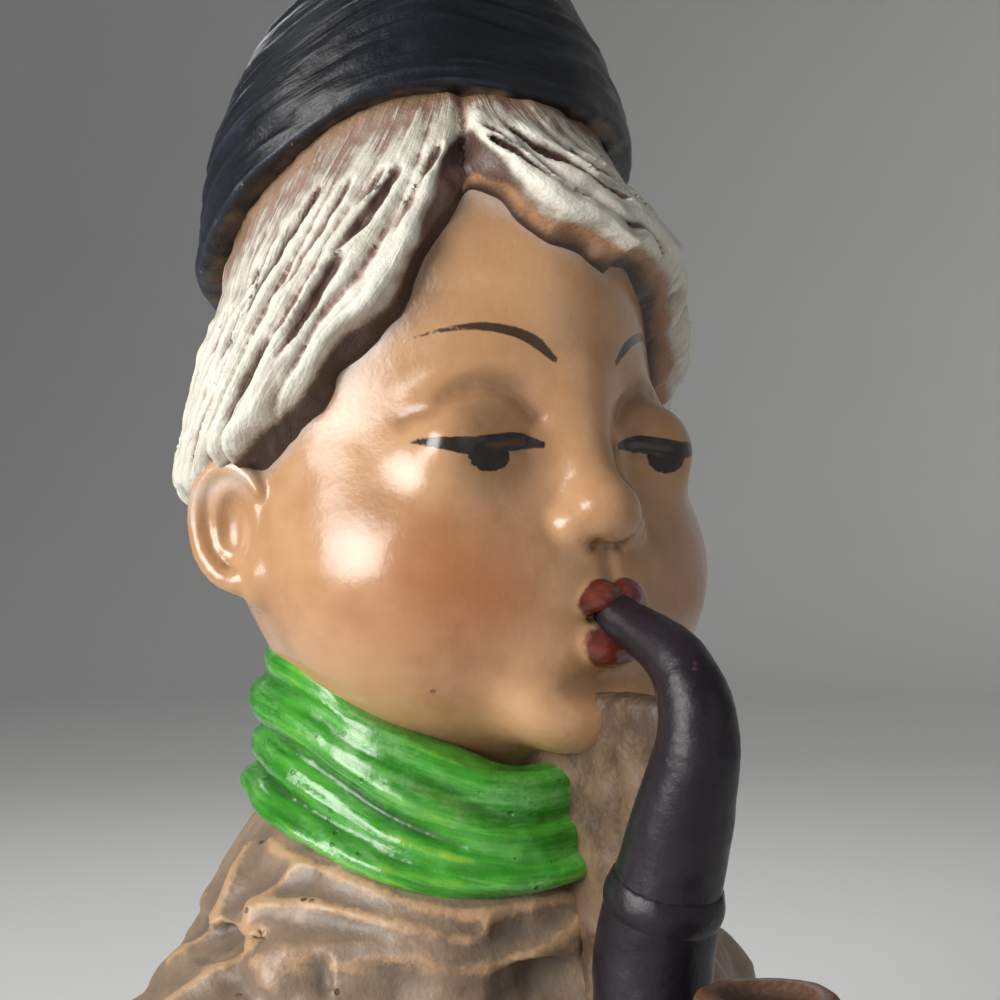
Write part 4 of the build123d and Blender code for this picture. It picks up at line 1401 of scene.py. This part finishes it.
def buttonTree(material):
    tree = bpy.data.node_groups.new("sewnButtons", "GeometryNodeTree")
    inputs = {"Geometry": "Geometry", "Button": "Object", "Size": "Float", "Twist": "Float", "Seed": "Int"}
    for name, kind in inputs.items():
        tree.interface.new_socket(name, in_out="INPUT", socket_type="NodeSocket" + kind)
    tree.interface.new_socket("Geometry", in_out="OUTPUT", socket_type="NodeSocketGeometry")

    def add(kind, values, out=0, **settings):
        made = tree.nodes.new(kind)
        for key, value in settings.items():
            setattr(made, key, value)
        for key, value in values.items():
            if isinstance(value, bpy.types.NodeSocket):
                tree.links.new(value, made.inputs[key])
            else:
                made.inputs[key].default_value = value
        return made.outputs[out]

    given = tree.nodes.new("NodeGroupInput").outputs
    facing = add("GeometryNodeInputNamedAttribute", {"Name": "facing"}, "Attribute", data_type="FLOAT_VECTOR")
    aim = add("FunctionNodeAlignRotationToVector", {"Vector": facing}, "Rotation", axis="Z")
    shape = add("GeometryNodeObjectInfo", {"Object": given["Button"]}, "Geometry")
    spread = {"Points": given["Geometry"], "Instance": shape, "Rotation": aim, "Scale": given["Size"]}
    placed = add("GeometryNodeInstanceOnPoints", spread, "Instances")
    chance = add("FunctionNodeRandomValue", {"Seed": given["Seed"]}, 1, data_type="FLOAT")
    twist = add("ShaderNodeMath", {0: chance, 1: given["Twist"]}, operation="MULTIPLY")
    spin = add("ShaderNodeCombineXYZ", {"Z": twist})
    turned = add("GeometryNodeRotateInstances", {"Instances": placed, "Rotation": spin}, "Instances")
    real = add("GeometryNodeRealizeInstances", {"Geometry": turned}, "Geometry")
    dressed = add("GeometryNodeSetMaterial", {"Geometry": real, "Material": material}, "Geometry")
    tree.links.new(dressed, tree.nodes.new("NodeGroupOutput").inputs["Geometry"])
    return tree


def sewButtons(material):
    spots = []
    facings = []
    for height in buttonShape["heights"]:
        wide, front = [float(easeTable(height, *np.array(torsoTable)[:, [0, i]].T)) for i in (1, 2)]
        for side in sides:
            across = side * buttonShape["across"]
            reach = front * math.sqrt(1 - (across / wide) ** 2)
            facing = np.array((across / wide ** 2, -reach / front ** 2, 0))
            spots.append((across * mm, -reach * mm, height * mm))
            facings.append(facing / np.linalg.norm(facing))
    mesh = bpy.data.meshes.new("buttonSpots")
    mesh.from_pydata(spots, [], [])
    layer = mesh.attributes.new("facing", "FLOAT_VECTOR", "POINT")
    layer.data.foreach_set("vector", np.array(facings, np.float32).ravel())
    holder = addObject("buttonSpots", mesh)
    button = turnedButton("buttonShape")
    tree = buttonTree(material)
    modifier = holder.modifiers.new("sewnButtons", "NODES")
    modifier.node_group = tree
    values = {"Button": button, **buttonShape["set"]}
    for item in tree.interface.items_tree:
        if item.in_out == "INPUT" and item.name in values:
            modifier[item.identifier] = values[item.name]
    evaluated = holder.evaluated_get(bpy.context.evaluated_depsgraph_get())
    plain = bpy.data.meshes.new_from_object(evaluated)
    holder.modifiers.remove(modifier)
    bpy.data.objects.remove(holder)
    bpy.data.objects.remove(button)
    plain.name = "coatButtons"
    enterPiece("coatButtons", plain, ["coat_buttons"])


def buttonPaint():
    p = Paint("buttonPaint")
    fine = p.noise(1.8, 3)
    patch = p.noise(0.3, 4)
    p.colour = patch.tint(0.35, 0.65, (0.045, 0.024, 0.014), (0.085, 0.048, 0.028))
    p.lay((p.noise(0.7, 4) + fine.sway(0.3)).over(0.62, 0.74) * 0.7, (0.30, 0.19, 0.11))
    height = p.noise(0.9, 4) * 0.6 + fine * 0.3
    return p.finish(0.36 + patch.sway(0.3), height, 0.14, Coat_Weight=0.15, Coat_Roughness=0.2)


def wirePaint():
    p = Paint("steelWire")
    drawn = p.noise(3.0, 3, 0.6, stretch=(1, 0.2, 0.2))
    rust = p.noise(0.6, 4).over(0.58, 0.70)
    p.colour = p.blend(drawn, (0.34, 0.33, 0.32), (0.46, 0.45, 0.43))
    p.lay(rust * 0.7, (0.16, 0.06, 0.025))
    return p.finish(0.35 + rust * 0.4, drawn, 0.03, Metallic=1 - rust * 0.8)


# Camera, light and stage

view = {
    "turn": -37.0,       # degrees round the figure from its front
    "distance": 230.0,   # mm from the head's middle line
    "right": 6.0,        # mm of the aim to the viewer's right of the head's middle line
    "height": 114.0,
    "lens": 67.9,
}


def setCamera():
    turn = math.radians(view["turn"])
    out = np.array((math.sin(turn), -math.cos(turn)))
    right = np.array((math.cos(turn), math.sin(turn)))
    spot = out * view["distance"] + right * view["right"]
    camera = bpy.data.cameras.new("camera")
    camera.lens = view["lens"]
    camera.sensor_width = 36.0
    camera.clip_start = 0.01
    holder = addObject("camera", camera)
    holder.location = (spot[0] * mm, spot[1] * mm, view["height"] * mm)
    holder.rotation_euler = (math.radians(90), 0, turn)
    bpy.context.scene.camera = holder


lamps = [  # name, turn from the front, height and distance in m, size in m, watts, colour
    ("windowSoftbox", -88, 0.38, 0.95, (0.74, 0.70), 3.4, (1.0, 0.98, 0.96)),
    ("fillSoftbox", 10, 0.34, 0.80, (0.60, 0.60), 0.08, (1.0, 0.97, 0.94)),
    ("backSoftbox", 150, 0.55, 0.60, (0.40, 0.40), 0.4, (0.96, 0.98, 1.0)),
]
aimHeight = 0.105  # m, where the lamps point
lampSpread = 75    # degrees


def setLight():
    for name, turn, height, distance, size, watts, colour in lamps:
        lamp = bpy.data.lights.new(name, "AREA")
        lamp.shape = "RECTANGLE"
        lamp.size, lamp.size_y = size
        lamp.energy = watts
        lamp.color = colour
        lamp.spread = math.radians(lampSpread)
        holder = addObject(name, lamp)
        angle = math.radians(turn)
        holder.location = (math.sin(angle) * distance, -math.cos(angle) * distance, height)
        holder.rotation_euler = (math.atan2(distance, height - aimHeight), 0, angle)
    world = bpy.data.worlds.new("studio")
    world.use_nodes = True
    background = world.node_tree.nodes["Background"].inputs
    background["Color"].default_value = (0.95, 0.97, 1.0, 1.0)
    background["Strength"].default_value = 0.18
    bpy.context.scene.world = world


def setStage():
    p = Paint("paperSweep")
    p.colour = p.blend(p.noise(0.01, 2), (0.76, 0.76, 0.75), (0.79, 0.79, 0.78))
    material = p.finish(0.9, p.noise(1.5), 0.01)
    outline = [(0.0, 0.0), (0.9, 0.0)]
    for step in range(1, 9):
        angle = math.radians(90 * step / 8)
        outline.append((0.9 + 0.5 * math.sin(angle), 0.5 - 0.5 * math.cos(angle)))
    outline.append((1.4, 1.1))
    around = 64
    points = []
    faces = []
    for out, up in outline:
        for step in range(around):
            angle = 2 * math.pi * step / around
            points.append((out * math.cos(angle), out * math.sin(angle), up))
    for row in range(len(outline) - 1):
        for step in range(around):
            here, beside = row * around + step, row * around + (step + 1) % around
            faces.append((here, here + around, beside + around, beside))
    addObject("paperSweep", makeMesh("paperSweep", points, faces, material))


setCamera()
setLight()
setStage()
bpy.context.scene.view_settings.view_transform = "Standard"
print("stage ready")
sculptHead(fleshPaint())
sculptHair(hairPaint())
sculptCap(capPaint())
sculptScarf(scarfPaint())
sculptCoat(coatPaint())
sculptPipe(pipePaint())
sculptWeb(webPaint())
sculptFelt(feltPaint())
sewButtons(buttonPaint())
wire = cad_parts["pipe_wire"]
wire.data.materials.clear()
wire.data.materials.append(wirePaint())
print("pieces ready")
